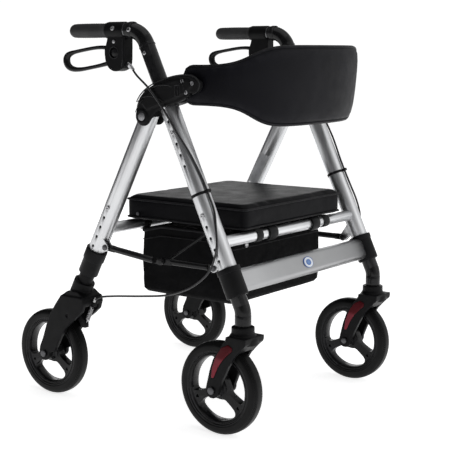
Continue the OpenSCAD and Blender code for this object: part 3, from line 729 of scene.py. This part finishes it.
# ---------------------------------------------------------------- brake levers and their housings
LEVER_FATNESS = 1.35
CASING_HALF = 0.0135
CASING_FACE = -LEG_X - CASING_HALF
PIVOT_CAP = (0.0317, 0.793)
CLAMP_BORE = 0.0112


def side_path(x, points):
    """Points in the plane of a side frame, from (y, z) pairs."""
    return [Vector((x, y, z)) for y, z in points]


def on_grip_line(y):
    return Matrix.Translation((-LEG_X, y, GRIP_Z)) @ ALONG_Y


def lever_mesh():
    """Closed finger loop: slim bars, a thick rounded tip, and a boss in the housing."""
    spine = [(0.046, 0.7965, 3.6), (0.058, 0.8015, 3.6), (0.075, 0.8040, 3.3), (0.100, 0.8030, 3.1),
             (0.130, 0.7990, 3.1), (0.158, 0.7945, 3.3), (0.174, 0.7905, 4.4), (0.184, 0.7840, 6.0),
             (0.1865, 0.7750, 6.6), (0.183, 0.7655, 6.2), (0.174, 0.7590, 5.2), (0.160, 0.7560, 4.2),
             (0.140, 0.7565, 3.5), (0.112, 0.7605, 3.2), (0.085, 0.7650, 3.3), (0.062, 0.7700, 3.8),
             (0.050, 0.7760, 4.6), (0.044, 0.7860, 5.0)]
    loop = [Vector((y, z, r)) for y, z, r in spine]
    path = smooth_path([loop[-1]] + loop + loop[:2], 5)[5:-5][:-1]
    rings = []
    for i, p in enumerate(path):
        after, before = path[(i + 1) % len(path)], path[i - 1]
        tangent = Vector((0, after.x - before.x, after.y - before.y)).normalized()
        normal = Vector((0, -tangent.z, tangent.y))
        half = p.z / 1000 * LEVER_FATNESS
        wide = Vector((0.0048 + half * 0.25, 0, 0))
        rings.append([Vector((-LEG_X, p.x, p.y)) + wide * math.cos(a) + normal * half * math.sin(a)
                      for a in (2 * math.pi * k / 16 for k in range(16))])
    return loft("lever", rings, closed=True)


def housing_mesh():
    """Rounded casing under the grip tube, narrower at the neck, slotted for the lever."""
    outline = [Vector((y, z, 0)) for y, z in (
        (0.050, 0.828), (0.0535, 0.815), (0.0590, 0.800), (0.0590, 0.786), (0.0560, 0.772),
        (0.0480, 0.760), (0.0350, 0.7535), (0.0220, 0.7540), (0.0120, 0.7580), (0.0040, 0.7660),
        (0.0015, 0.7820), (0.0010, 0.800), (0.0010, 0.828))]
    points = [(p.x, p.y) for p in smooth_path(outline, 4)]
    body = prism("housing", points, CASING_FACE, -LEG_X + CASING_HALF)
    clamp = lathe("clamp", [(0.0111, 0.0), (0.0180, 0.0), (0.0186, 0.003), (0.0186, 0.049),
                            (0.0180, 0.052), (0.0111, 0.052)], on_grip_line(0.0055), 48)
    bore = lathe("bore", [(0.0, -0.02), (CLAMP_BORE, -0.02), (CLAMP_BORE, 0.09), (0.0, 0.09)],
                 on_grip_line(0.0), 40, closed=False)
    slot = prism("slot", [(0.026, 0.750), (0.026, 0.812), (0.070, 0.812), (0.070, 0.750)],
                 -LEG_X - 0.0068, -LEG_X + 0.0068)
    recess = lathe("recess", [(0.0, -0.004), (0.0122, -0.004), (0.0122, 0.004), (0.0, 0.004)],
                   Matrix.Translation((CASING_FACE - 0.0008, *PIVOT_CAP)) @ ALONG_X, 40, closed=False)
    return cut(moulded(joined("casing", [body, clamp]), 0.0010, 8), [bore, slot, recess])


def housing_details():
    """Pivot cap in its recess, its rim, and the casing's raised front ridge."""
    y, z = PIVOT_CAP
    cap = lathe("cap", [(0.0, -0.0016), (0.0075, -0.0014), (0.0092, -0.0004), (0.0100, 0.0008),
                        (0.0100, 0.004), (0.0, 0.004)],
                Matrix.Translation((CASING_FACE + 0.0022, y, z)) @ ALONG_X, 36, closed=False)
    spine = side_path(CASING_FACE - 0.0004, [(0.0065, z) for z in (0.822, 0.806, 0.790, 0.776)])
    spine.append(Vector((CASING_FACE + 0.001, 0.0110, 0.764)))
    ridge = tube("ridge", smooth_path(spine, 6), 0.0018, 10)
    rim = ring_tube("rim", side_path(CASING_FACE - 0.0002, circle((y, z), 0.0126, 0, 351, 39)), 0.0011, 8)
    return joined("details", [cap, ridge, rim])


pair("brake_housing_finish", housing_mesh(), BLACK_PLASTIC, "handle", "brake_housing",
     sharp=45)
pair("brake_housing_trim", housing_details(), GLOSS_PLASTIC, "handle", sharp=50)
pair("brake_lever_finish", lever_mesh(), GLOSS_PLASTIC, "lever", "brake_lever", sharp=60)

# screw heads of the handle: casing, clamp, collar and the flush one in the tube
handle_screws = [bolt_head("head", Vector(at), outward, r, h) for at, outward, r, h in (
    ((CASING_FACE, 0.0312, 0.8165), (-1, 0, 0), 0.0042, 0.0022),
    ((-LEG_X - 0.0180, 0.0300, 0.8440), (-1, 0, 0.25), 0.0050, 0.0034),
    ((-LEG_X - 0.0165, -0.0150, 0.8410), (-1, 0, 0.1), 0.0050, 0.0034),
    (FRONT_LEG @ Vector((-0.0166, 0.001, -0.052)), (-1, 0, 0), 0.0044, 0.0008))]
pair("handle_screws", joined("handle_screws", handle_screws), STEEL, "handle")
collar = lathe("collar", [(0.0171, 0.0), (0.0182, 0.0006), (0.0186, 0.003), (0.0186, 0.009),
                          (0.0182, 0.0114), (0.0171, 0.012)], on_grip_line(-0.0160), 40)
sleeve = lathe("sleeve", [(CLAMP_BORE, 0.0), (0.0166, 0.0), (0.0168, 0.002), (0.0168, 0.009),
                          (0.0166, 0.0112), (CLAMP_BORE, 0.0112)], on_grip_line(-0.0052), 40)
flange = lathe("flange", [(0.0172, 0.0), (0.0182, 0.0004), (0.0184, 0.0014), (0.0182, 0.0024),
                          (0.0172, 0.0028)], FRONT_LEG @ Matrix.Translation((0, 0, -0.038)), 40)
pair("handle_collar", joined("collar", [collar, flange]), BLACK_METAL, "handle")
pair("handle_sleeve", sleeve, GREY_TUBE, "handle")

# cable adjuster: a knurled barrel that leaves the casing along the cable
adjuster_axis = Matrix.Translation((-LEG_X, 0.0025, 0.7680)) @ Matrix.Rotation(math.radians(127), 4, "X")
knurl = [(0.0, -0.004), (0.0044, -0.004), (0.0044, 0.004)]
knurl += [(0.0040 if k % 2 else 0.0047, 0.004 + 0.0009 * k) for k in range(9)]
knurl += [(0.0036, 0.0125), (0.0036, 0.0165), (0.0028, 0.0185), (0.0, 0.0185)]
adjuster = lathe("adjuster", knurl, adjuster_axis, 20, closed=False)
pair("cable_adjuster", adjuster, STEEL, "handle")


# ---------------------------------------------------------------- bracket detail
def outline_bead(points, x, radius):
    """Raised line on the bracket that thins out at both ends."""
    return tube("bead", smooth_path(side_path(x, points), 6),
                lambda u: radius * (0.35 + 0.65 * math.sin(math.pi * u) ** 0.3), 10)


def bracket_details():
    face = -LEG_X - 0.0272
    top = [(-0.040, 0.690), (-0.052, 0.706), (-0.070, 0.720), (-0.092, 0.731), (-0.126, 0.7415),
           (-0.150, 0.7465), (-0.172, 0.7485), (-0.192, 0.7465), (-0.206, 0.738), (-0.2095, 0.727),
           (-0.204, 0.716), (-0.192, 0.7095)]
    inner = [(-0.070, 0.7165), (-0.094, 0.7235), (-0.110, 0.7265), (-0.130, 0.7270), (-0.140, 0.7235)]
    lobe = [(-0.046, 0.690), (-0.060, 0.7000), (-0.082, 0.7030), (-0.102, 0.6990), (-0.118, 0.6925)]
    sweep = [(-0.038, 0.668), (-0.050, 0.6880), (-0.066, 0.6960), (-0.084, 0.6920), (-0.094, 0.6820)]
    parts = [outline_bead(top, -LEG_X - 0.0240, 0.0016), outline_bead(inner, face - 0.0002, 0.0019),
             outline_bead(lobe, face - 0.0002, 0.0013), outline_bead(sweep, -LEG_X - 0.0250, 0.0013)]
    corners = side_path(face - 0.0004, [(-0.1490, 0.7275), (-0.1620, 0.7280), (-0.1625, 0.7060),
                                        (-0.1495, 0.7055)])
    buckle = []
    for i, p in enumerate(corners):
        q = corners[(i + 1) % 4]
        buckle += [p.lerp(q, (k + 0.5) / 6) for k in range(6)]
    parts.append(ring_tube("buckle", buckle, 0.0014, 8))
    bar = side_path(face - 0.0002, [(-0.1558, 0.7262), (-0.1560, 0.7165), (-0.1562, 0.7072)])
    bar[1].x -= 0.0004
    parts.append(tube("bar", smooth_path(bar, 5), 0.0012, 8))
    seam = side_path(face - 0.0001, [(-0.1640, 0.7420), (-0.1690, 0.7280), (-0.1755, 0.7120)])
    parts.append(tube("seam", smooth_path(seam, 5), 0.0008, 8))
    return joined("details", parts)


pair("bracket_trim", bracket_details(), GLOSS_PLASTIC, "front_frame", sharp=60)


# ---------------------------------------------------------------- grips
def grip_mesh():
    """Soft grip: plain round body, flange at the front, full round end."""
    low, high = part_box("grip_r")
    length = high.y - low.y
    profile = [(0.0112, 0.0), (0.0158, 0.0), (0.0165, 0.0012), (0.0165, 0.004), (0.0158, 0.0052),
               (0.0149, 0.006)]
    count = 26
    for i in range(count):
        h = 0.0075 + (length - 0.018 - 0.0075) * i / (count - 1)
        rib = 0.00022 * math.cos(2 * math.pi * i / 2)
        profile.append((0.0152 + rib + 0.0004 * math.sin(math.pi * i / (count - 1)), h))
    for k in range(9):
        a = math.pi / 2 * k / 8
        profile.append((0.0150 * math.cos(a) if k < 8 else 0.0, length - 0.0155 + 0.0150 * math.sin(a)))
    m = Matrix.Translation(Vector((-LEG_X, low.y, GRIP_Z))) @ ALONG_Y
    return lathe("grip", [(0.0, 0.0)] + profile, m, 48, closed=False)


pair("grip_finish", grip_mesh(), GRIP_RUBBER, "handle", "grip")


# ---------------------------------------------------------------- wheels
WHEEL_TURN = 4.3


def window_outline():
    """Opening between two spokes, as (across, along) from the axle, its middle on the first axis."""
    half = [(0.0225, 0.0), (0.0228, 0.0085), (0.0215, 0.0170), (0.0245, 0.0245), (0.0310, 0.0345),
            (0.0375, 0.0435), (0.0450, 0.0480), (0.0530, 0.0445), (0.0600, 0.0345), (0.0655, 0.0220),
            (0.0685, 0.0110), (0.0695, 0.0)]
    loop = [Vector((u, v, 0)) for u, v in half] + [Vector((u, -v, 0)) for u, v in reversed(half[1:-1])]
    loop = loop + loop[:1]
    return [(p.x, p.y) for p in smooth_path(loop, 3)[:-1]]


def wheel_meshes(centre):
    """Tyre and hub of one wheel, axle along X."""
    turn = Matrix.Translation(centre) @ ALONG_X
    tread = []
    half, crown = 0.0172, WHEEL_R
    for i in range(81):
        a = math.pi * i / 80
        r = 0.0825 + (crown - 0.0825) * math.sin(a) ** 0.55
        h = -half * math.copysign(abs(math.cos(a)) ** 0.75, math.cos(a))
        groove = sum(math.exp(-((abs(h) - at) / 0.0005) ** 2) for at in (0.0085, 0.0112, 0.0135))
        tread.append((r - 0.0009 * groove, h))
    profile = tread + [(0.0800, 0.0150), (0.0785, 0.0105), (0.0785, -0.0105), (0.0800, -0.0150)]
    tyre = lathe("tyre", profile, turn, 120)
    hub_profile = [(0.0041, -0.0198), (0.0125, -0.0198), (0.0150, -0.0185), (0.0165, -0.0140),
                   (0.0190, -0.0095), (0.0300, -0.0088), (0.0560, -0.0098), (0.0690, -0.0106),
                   (0.0712, -0.0140), (0.0735, -0.0146), (0.0750, -0.0128), (0.0768, -0.0128),
                   (0.0782, -0.0152), (0.0806, -0.0156), (0.0820, -0.0142), (0.0820, -0.0100)]
    hub_profile += [(r, -h) for r, h in reversed(hub_profile)]
    hub = lathe("hub", hub_profile, turn, 120)
    knives = []
    for k in range(3):
        for outline, start in ((window_outline(), WHEEL_TURN), (triangle_hole(), WHEEL_TURN + 60)):
            a = math.radians(120 * k + start)
            pts = [(u * math.cos(a) - v * math.sin(a), u * math.sin(a) + v * math.cos(a)) for u, v in outline]
            rings = [[turn @ Vector((u, v, h)) for u, v in pts] for h in (-0.03, 0.03)]
            knives.append(loft("knife", rings))
    hub = edged(cut(hub, knives), 0.0012, 3, 35)
    return tyre, hub


def triangle_hole():
    """Small rounded three-cornered hole where a spoke splits to meet the rim."""
    pts = []
    for start in (0, 120, 240):
        centre = (0.0615 + 0.0026 * math.cos(math.radians(start)), 0.0026 * math.sin(math.radians(start)))
        pts += circle(centre, 0.0016, start - 60, start + 60, 5)
    return pts


for which in ("front", "rear"):
    tyre_mesh, hub_mesh = wheel_meshes(WHEELS[which + "_r"])
    pair(f"tyre_{which}", tyre_mesh, TYRE, which + "_wheel", "wheel_" + which, sharp=30)
    pair(f"hub_{which}", hub_mesh, GLOSS_PLASTIC, which + "_wheel")


# ---------------------------------------------------------------- backrest
BACK_T = 0.022
BACK_A = LEG_X - 0.002
BACK_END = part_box("backrest")[1].y
BACK_LEAN = 0.09
BACK_START_Y, BACK_DEPTH = -0.190, 0.115


def back_point(t, off):
    """Point on the bowed band in plan; off is how far outside its centre line."""
    e = 2 / 2.3
    c, s = math.cos(t), math.sin(t)
    return (math.copysign((BACK_A + off) * abs(c) ** e, c), BACK_START_Y - (BACK_DEPTH + off) * abs(s) ** e)


def back_share(x):
    """Share of the full height: 0 at the ends, 1 across the middle."""
    if x > 0:
        return 1 / (1 + math.exp((x - 0.222) * 75))
    return 1 / (1 + math.exp((-x - 0.200) * 45))


def back_top(x):
    return 0.765 + 0.044 * back_share(x)


def back_bottom(x):
    return 0.690 - 0.052 * back_share(x)


def back_stations():
    """(angle, y or None) along the band: a short straight in each bracket, then the bow."""
    count = 140
    straight = [(0.0, BACK_END - 0.04 * (i / 5)) for i in range(5)]
    bow = [(math.pi * i / count, None) for i in range(count + 1)]
    return straight + bow + [(math.pi, y) for _, y in reversed(straight)]


def end_round(y):
    """How much the height closes in at the rounded ends, 0 to 1."""
    reach = 0.026
    gap = max(0.0, reach - (BACK_END - y)) / reach if y is not None else 0.0
    return 1 - math.sqrt(max(0.0, 1 - gap * gap))


def back_place(station, through, up):
    """A point of the pad: station along it, distance through it, and share of its height."""
    t, y = station
    mid = back_point(t, 0.0)
    zt, zb = back_top(mid[0]) - 0.0015, back_bottom(mid[0]) + 0.0015
    shut = 0.022 * end_round(y)
    z = zb + shut + (zt - zb - 2 * shut) * up
    x, along = back_point(t, through + (z - 0.73) * BACK_LEAN * min(1.0, 1.6 * math.sin(t)))
    return Vector((x, along if y is None else y, z))


def back_section():
    """Cross-section of the pad: (through, up) with a seam just inside the bound edge."""
    half_t = BACK_T / 2
    ups = [0.0, 0.006, 0.016, 0.022, 0.027, 0.033, 0.07, 0.16, 0.3, 0.42, 0.5]
    fills = [0.30, 0.40, 0.44, 0.43, 0.30, 0.46, 0.70, 0.88, 0.97, 1.0, 1.0]
    side = [(f * half_t, u) for u, f in zip(ups, fills)]
    side += [(f, 1 - u) for f, u in reversed(side[:-1])]
    return side + [(-f, u) for f, u in reversed(side)]


def back_mesh():
    section = back_section()
    rings = [[back_place(station, through, up) for through, up in section] for station in back_stations()]
    return loft("backrest", rings)


def back_edge(top):
    ups = 0.985 if top else 0.015
    path = [back_place(st, 0.0, ups) for st in back_stations()]
    return tube("edge", path, 0.0042, 12)


backrest = place("backrest_pad", back_mesh(), BACK_COVER, "front_frame", ["backrest"], 60)
back_binding = joined("binding", [back_edge(True), back_edge(False)])
place("backrest_binding", back_binding, PIPING, "front_frame")


# ---------------------------------------------------------------- seat
SEAT_W = SEAT_HIGH.x - SEAT_LOW.x
SEAT_CORNER = 0.012


def rounded_box_outline(x0, y0, x1, y1, radius, steps=8, between=14):
    pts = []
    corners = ((x1 - radius, y1 - radius, 0), (x0 + radius, y1 - radius, 90), (x0 + radius, y0 + radius, 180),
               (x1 - radius, y0 + radius, 270))
    for cx, cy, start in corners:
        pts += circle((cx, cy), radius, start, start + 90, steps)
    out = []
    for i, p in enumerate(pts):
        q = pts[(i + 1) % len(pts)]
        out.append(p)
        gap = math.hypot(q[0] - p[0], q[1] - p[1])
        if gap > 0.03:
            out += [(p[0] + (q[0] - p[0]) * k / between, p[1] + (q[1] - p[1]) * k / between)
                    for k in range(1, between)]
    return out


def seat_start():
    """Cushion block a little inside its finished size."""
    x0, y0, x1, y1 = SEAT_LOW.x - 0.003, SEAT_LOW.y - 0.004, SEAT_HIGH.x + 0.003, SEAT_HIGH.y + 0.003
    low, high = SEAT_LOW.z + 0.0005, SEAT_HIGH.z + 0.0025
    rings = []
    for inset, z in ((0.002, low), (0.0, low + 0.004), (0.0, high - 0.004), (0.003, high)):
        rings.append([Vector((x, y, z)) for x, y in
                      rounded_box_outline(x0 + inset, y0 + inset, x1 - inset, y1 - inset, SEAT_CORNER)])
    return loft("cushion", rings)


def inflated(mesh, voxel, pressure, cap):
    """Pressed out like stuffed fabric, with no point moving more than cap."""
    obj = bpy.data.objects.new("cushion_work", mesh)
    bpy.context.scene.collection.objects.link(obj)
    mod = obj.modifiers.new("grid", "REMESH")
    mod.mode = "VOXEL"
    mod.voxel_size = voxel
    start = evaluated(obj)
    obj.modifiers.clear()
    obj.data = start
    rest = [v.co.copy() for v in start.vertices]
    cloth = obj.modifiers.new("cloth", "CLOTH")
    cloth.settings.quality = 6
    cloth.settings.mass = 0.3
    cloth.settings.use_pressure = True
    cloth.settings.uniform_pressure_force = pressure
    cloth.settings.tension_stiffness = 40
    cloth.settings.compression_stiffness = 20
    cloth.settings.bending_stiffness = 2.0
    cloth.settings.effector_weights.gravity = 0.0
    cloth.point_cache.frame_start = 1
    cloth.point_cache.frame_end = 20
    for step in range(1, 21):
        bpy.context.scene.frame_set(step)
    out = evaluated(obj)
    bpy.data.objects.remove(obj)
    bpy.context.scene.frame_set(1)
    for v, was in zip(out.vertices, rest):
        move = v.co - was
        if move.length > cap:
            v.co = was + move.normalized() * cap
    return out


def seat_mesh():
    mesh = inflated(seat_start(), 0.005, 4.0, 0.006)
    low = SEAT_LOW.z
    middle_y = (SEAT_LOW.y + SEAT_HIGH.y) / 2
    for v in mesh.vertices:
        across = 1 - min(1.0, abs(v.co.x) / (SEAT_W / 2)) ** 4
        along = 1 - min(1.0, abs(v.co.y - middle_y) / (SEAT_HIGH.y - middle_y)) ** 4
        if v.co.z > (low + SEAT_HIGH.z) / 2:
            v.co.z += 0.004 * across * along
        v.co.z = min(max(v.co.z, low), SEAT_HIGH.z + 0.007)
        v.co.x = min(max(v.co.x, SEAT_LOW.x - 0.005), SEAT_HIGH.x + 0.005)
        v.co.y = min(max(v.co.y, SEAT_LOW.y - 0.005), SEAT_HIGH.y + 0.005)
    return with_modifiers(mesh, ("SMOOTH", dict(factor=0.5, iterations=2)),
                          ("SUBSURF", dict(levels=1, render_levels=1)))


def seat_seam(surface, z, pull):
    """Piping laid on the cushion where its side meets its top or bottom."""
    tree = BVHTree.FromPolygons([v.co for v in surface.vertices],
                                [tuple(p.vertices) for p in surface.polygons])
    x0, y0, x1, y1 = SEAT_LOW.x - 0.003, SEAT_LOW.y - 0.004, SEAT_HIGH.x + 0.003, SEAT_HIGH.y + 0.003
    path = []
    for x, y in rounded_box_outline(x0, y0, x1, y1, SEAT_CORNER, 8, 24):
        hit = tree.find_nearest(Vector((x, y, z)))[0]
        path.append(Vector((hit.x, hit.y, z)).lerp(Vector((x, y, z)), pull))
    return ring_tube("seam", path, 0.0021, 10)


seat_shape = seat_mesh()
seat = place("seat_cushion", seat_shape, SEAT_VINYL, "seat", ["seat_pad"], 80)
seams = [seat_seam(seat_shape, z, 0.35) for z in (SEAT_HIGH.z - 0.003, SEAT_LOW.z + 0.005)]
place("seat_piping", joined("piping", seams), PIPING, "seat")


# ---------------------------------------------------------------- bag
def bag_ring(v, steps):
    """Outline of the bag at height fraction v: soft panels between seamed corners."""
    belly = math.sin(math.pi * min(1.0, v * 1.1)) if v < 0.9 else 0.0
    inset = 0.0 - 0.003 * belly
    tuck = 0.005 * max(0.0, 0.05 - v) / 0.05
    x0, x1 = BAG_LOW.x + inset + tuck, BAG_HIGH.x - inset - tuck
    y0, y1 = BAG_LOW.y + inset + tuck, BAG_HIGH.y + 0.007 - inset - tuck
    return rounded_box_outline(x0, y0, x1, y1, 0.008, 6, steps)


def bag_rise(x, y):
    """How much higher the side panels reach than the front and back ones."""
    side = math.sin(math.pi * min(1.0, max(0.0, (y - BAG_LOW.y) / (BAG_HIGH.y - BAG_LOW.y))))
    face = math.sin(math.pi * min(1.0, max(0.0, (x - BAG_LOW.x) / (BAG_HIGH.x - BAG_LOW.x))))
    return 0.012 * min(1.0, side * 1.6) * (1 - face)


def bag_mesh():
    rows = 40
    height = BAG_HIGH.z - BAG_LOW.z
    centre = Vector((0, (BAG_LOW.y + BAG_HIGH.y) / 2, 0))
    rings = []
    for i in range(rows + 1):
        v = i / rows
        ring = []
        for x, y in bag_ring(v, 36):
            side = math.sin(math.pi * min(1.0, max(0.0, (y - BAG_LOW.y) / (BAG_HIGH.y - BAG_LOW.y))))
            face = math.sin(math.pi * min(1.0, max(0.0, (x - BAG_LOW.x) / (BAG_HIGH.x - BAG_LOW.x))))
            lift = 0.001 - 0.006 * (1 - v) ** 4 * min(1.0, side * 2) * min(1.0, face * 2)
            lean = noise.fractal(Vector((x * 7 + v * 2, y * 7, v * 1.2)), 1.0, 2.0, 3)
            crease = 1 - abs(noise.noise(Vector((x * 16, y * 16, v * 2.5 + 4)))) * 2
            push = (lean * 0.0030 - max(0.0, crease - 0.6) * 0.004) * math.sin(math.pi * min(1, v + 0.06))
            out = (Vector((x, y, 0)) - centre).normalized()
            p = Vector((x, y, 0)) + out * (push - 0.0015)
            sink = 0.005 * side * face if v > 0.9 else 0.0
            rise = bag_rise(x, y) * max(0.0, v - 0.6) / 0.4
            ring.append(Vector((p.x, p.y, BAG_LOW.z + v * height + lift + rise - sink)))
        rings.append(ring)
    floor_rings, top_rings = [], []
    for k in range(1, 9):
        f = 1 - k / 9
        sag = math.sin(math.pi / 2 * (1 - f))
        for source, drop, into in ((rings[0], 0.004, floor_rings), (rings[-1], 0.012, top_rings)):
            into.append([Vector((p.x * f, centre.y + (p.y - centre.y) * f, p.z - drop * sag))
                         for p in source])
    return loft("bag", list(reversed(floor_rings)) + rings + top_rings)


def bag_trim():
    """Hem round the mouth."""
    meshes = []
    hem = [Vector((x, y, 0)) for x, y in bag_ring(1.0, 30)]
    for z, r in ((BAG_HIGH.z - 0.004, 0.0032), (BAG_HIGH.z - 0.024, 0.0014)):
        meshes.append(ring_tube("hem", [Vector((p.x, p.y, z + bag_rise(p.x, p.y))) for p in hem], r, 8))
    return joined("trim", meshes)


bag = place("bag_body", bag_mesh(), BAG_CLOTH, None, ["bag"], 60)
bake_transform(bag)
trim = place("bag_trim", bag_trim(), PIPING, None)
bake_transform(trim)


# ---------------------------------------------------------------- straps
def strap_loop(rail, x, to_y, turn):
    """Webbing from the bag's hem up round a rail and back on itself."""
    r = RAIL_R + 0.0012
    path = [Vector((x, rail.y + r * math.cos(a), rail.z + r * math.sin(a)))
            for a in (math.radians(-100 + turn * 330 * i / 30) for i in range(31))]
    path = [Vector((x, to_y, BAG_HIGH.z - 0.012)), Vector((x, to_y, BAG_HIGH.z - 0.002))] + path
    return strap("strap", path, (1, 0, 0), 0.022, 0.0016)


fronts = [strap_loop(FRONT_RAIL, x, BAG_LOW.y + 0.012, -1) for x in (-0.133, 0.133)]
rears = [strap_loop(REAR_RAIL, x, BAG_HIGH.y - 0.012, 1) for x in (-0.133, 0.133)]
place("bag_straps_front", joined("straps", fronts), WEBBING, "front_frame", ["bag_straps"])
place("bag_straps_rear", joined("straps", rears), WEBBING, "rear_frame")


# ---------------------------------------------------------------- cables
# millimetres, from the brake housing to the rear fork of the right side
CABLE_ROUTE = [(-264, -10, 757), (-277, -34, 744), (-294.5, -78, 722), (-296.5, -104, 697),
               (-295, -121, 676), (-289, -134, 653), (-285.5, -149.5, 628), (-277.5, -178, 585),
               (-271, -201.5, 540), (-269.8, -219.8, 503), (-271, -234.5, 472), (-278.5, -244.5, 442),
               (-285.5, -252, 405), (-288, -247, 374), (-289, -232, 345), (-288, -200, 318),
               (-286, -162, 298), (-282, -109, 281), (-278, -42, 270), (-272, 43, 258),
               (-267, 90, 249), (-264, 113, 238.5)]
STEPS = 8
TIE, SLACK, TAIL = 9, 12, 20
CABLE_R = 0.0023
route = [Vector(p) / 1000 for p in CABLE_ROUTE]
for end, flip in (("_r", 1), ("_l", -1)):
    points = [Vector((p.x * flip, p.y, p.z)) for p in route]
    curve = smooth_path(points, STEPS)
    parts = (("cable_upper", 0, TIE, "handle" + end, "front_frame", 1, TIE - 1),
             ("cable_lower", TIE, TAIL, "front_frame", "rear_frame", SLACK, TAIL - 1),
             ("cable_tail", TAIL, len(points) - 1, "rear_frame", "rear_foot" + end, TAIL, -1))
    for name, head, foot, first, second, start, stop in parts:
        stands = [] if name == "cable_tail" else [name + end]
        path = curve[head * STEPS:foot * STEPS + 1]
        obj = place(name + end, tube(name + end, path, CABLE_R, 14), CABLE, None, stands)
        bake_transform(obj)


# ---------------------------------------------------------------- brake springs
SPRING_TOP = Vector((-LEG_X, 0.1224, 0.2205))
SPRING_DOWN = Vector((0, math.sin(math.radians(155)), math.cos(math.radians(155))))


def spring_mesh():
    side = SPRING_DOWN.orthogonal().normalized()
    other = SPRING_DOWN.cross(side)
    path = []
    turns, length = 10, 0.036
    for i in range(turns * 16 + 1):
        a = 2 * math.pi * i / 16
        around = (side * math.cos(a) + other * math.sin(a)) * 0.0044
        path.append(SPRING_TOP + SPRING_DOWN * (length * i / (turns * 16)) + around)
    return tube("spring", path, 0.00095, 8)


coils = pair("brake_spring_coil", spring_mesh(), STEEL, "rear_foot", "brake_spring")
for obj, end in zip(coils, "rl"):
    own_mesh(obj)

ferrule_path = smooth_path(side_path(-LEG_X, [(0.110, 0.2425), (0.1155, 0.2345), (0.1195, 0.2270)]), 6)
ferrule = tube("ferrule", ferrule_path, lambda u: 0.0030 + 0.0012 * (u > 0.5), 16)
pair("cable_ferrule", ferrule, LIGHT_PLASTIC, "rear_foot")
inner_wire = [SPRING_TOP + SPRING_DOWN * down for down in (-0.004, 0.020, 0.043)]
pair("cable_inner", tube("wire", smooth_path(inner_wire, 4), 0.0009, 8), STEEL, "rear_foot")

# ---------------------------------------------------------------- small parts on the frame
LABEL_TOP, LABEL_LONG = -0.134, 0.084


def label_ring(z):
    """Thin curved strip round a rear leg's tube, there and back."""
    out = [(0.0203, 150 + 7.5 * k) for k in range(11)] + [(0.0199, 225 - 7.5 * k) for k in range(11)]
    return [REAR_LEG @ Vector((r * math.cos(math.radians(a)), r * math.sin(math.radians(a)), z))
            for r, a in out]


label = loft("label", [label_ring(LABEL_TOP - LABEL_LONG * i / 8) for i in range(9)])
for v in label.vertices:
    v.co.x += 2 * LEG_X
place("blank_label", label, LABEL, "rear_frame", sharp=50)

snap_matrix = Matrix.Translation((-0.1235, BAG_LOW.y - 0.0005, 0.3795)) @ Matrix.Rotation(math.pi / 2, 4, "X")
snap = lathe("snap", [(0.0, 0.0032), (0.0042, 0.0030), (0.0058, 0.0020), (0.0062, 0.0006),
                      (0.0062, -0.001), (0.0, -0.001)], snap_matrix, 28, closed=False)
place("bag_snap", snap, STEEL, "front_frame")
stud_matrix = Matrix.Translation((SEAT_LOW.x - 0.0035, 0.042, 0.4345)) @ Matrix.Rotation(-math.pi / 2, 4, "Y")
stud = lathe("stud", [(0.0, 0.0024), (0.0030, 0.0022), (0.0040, 0.0012), (0.0042, -0.001), (0.0, -0.001)],
             stud_matrix, 24, closed=False)
place("seat_stud", stud, DARK_STEEL, "seat")

# ---------------------------------------------------------------- floor
FLOOR_HALF = 9
corners = [(x * FLOOR_HALF, y * FLOOR_HALF) for x, y in ((-1, -1), (1, -1), (1, 1), (-1, 1))]
floor_mesh = loft("floor", [[Vector((x, y, z)) for x, y in corners] for z in (0, -0.02)])
floor_finish = Finish("floor_paper", (0.9, 0.9, 0.9), 0.9, spec=0.1)
floor_finish.colour(floor_finish.ramp(floor_finish.noise(3, 2.0), [(0.3, (0.895, 0.895, 0.895)),
                                                                   (0.7, (0.905, 0.905, 0.905))]))
floor_finish.shader.inputs["Emission Color"].default_value = (1, 1, 1, 1)
floor_finish.shader.inputs["Emission Strength"].default_value = 0.78
floor_mesh.materials.append(floor_finish.material)
floor = bpy.data.objects.new("floor", floor_mesh)
bpy.context.scene.collection.objects.link(floor)
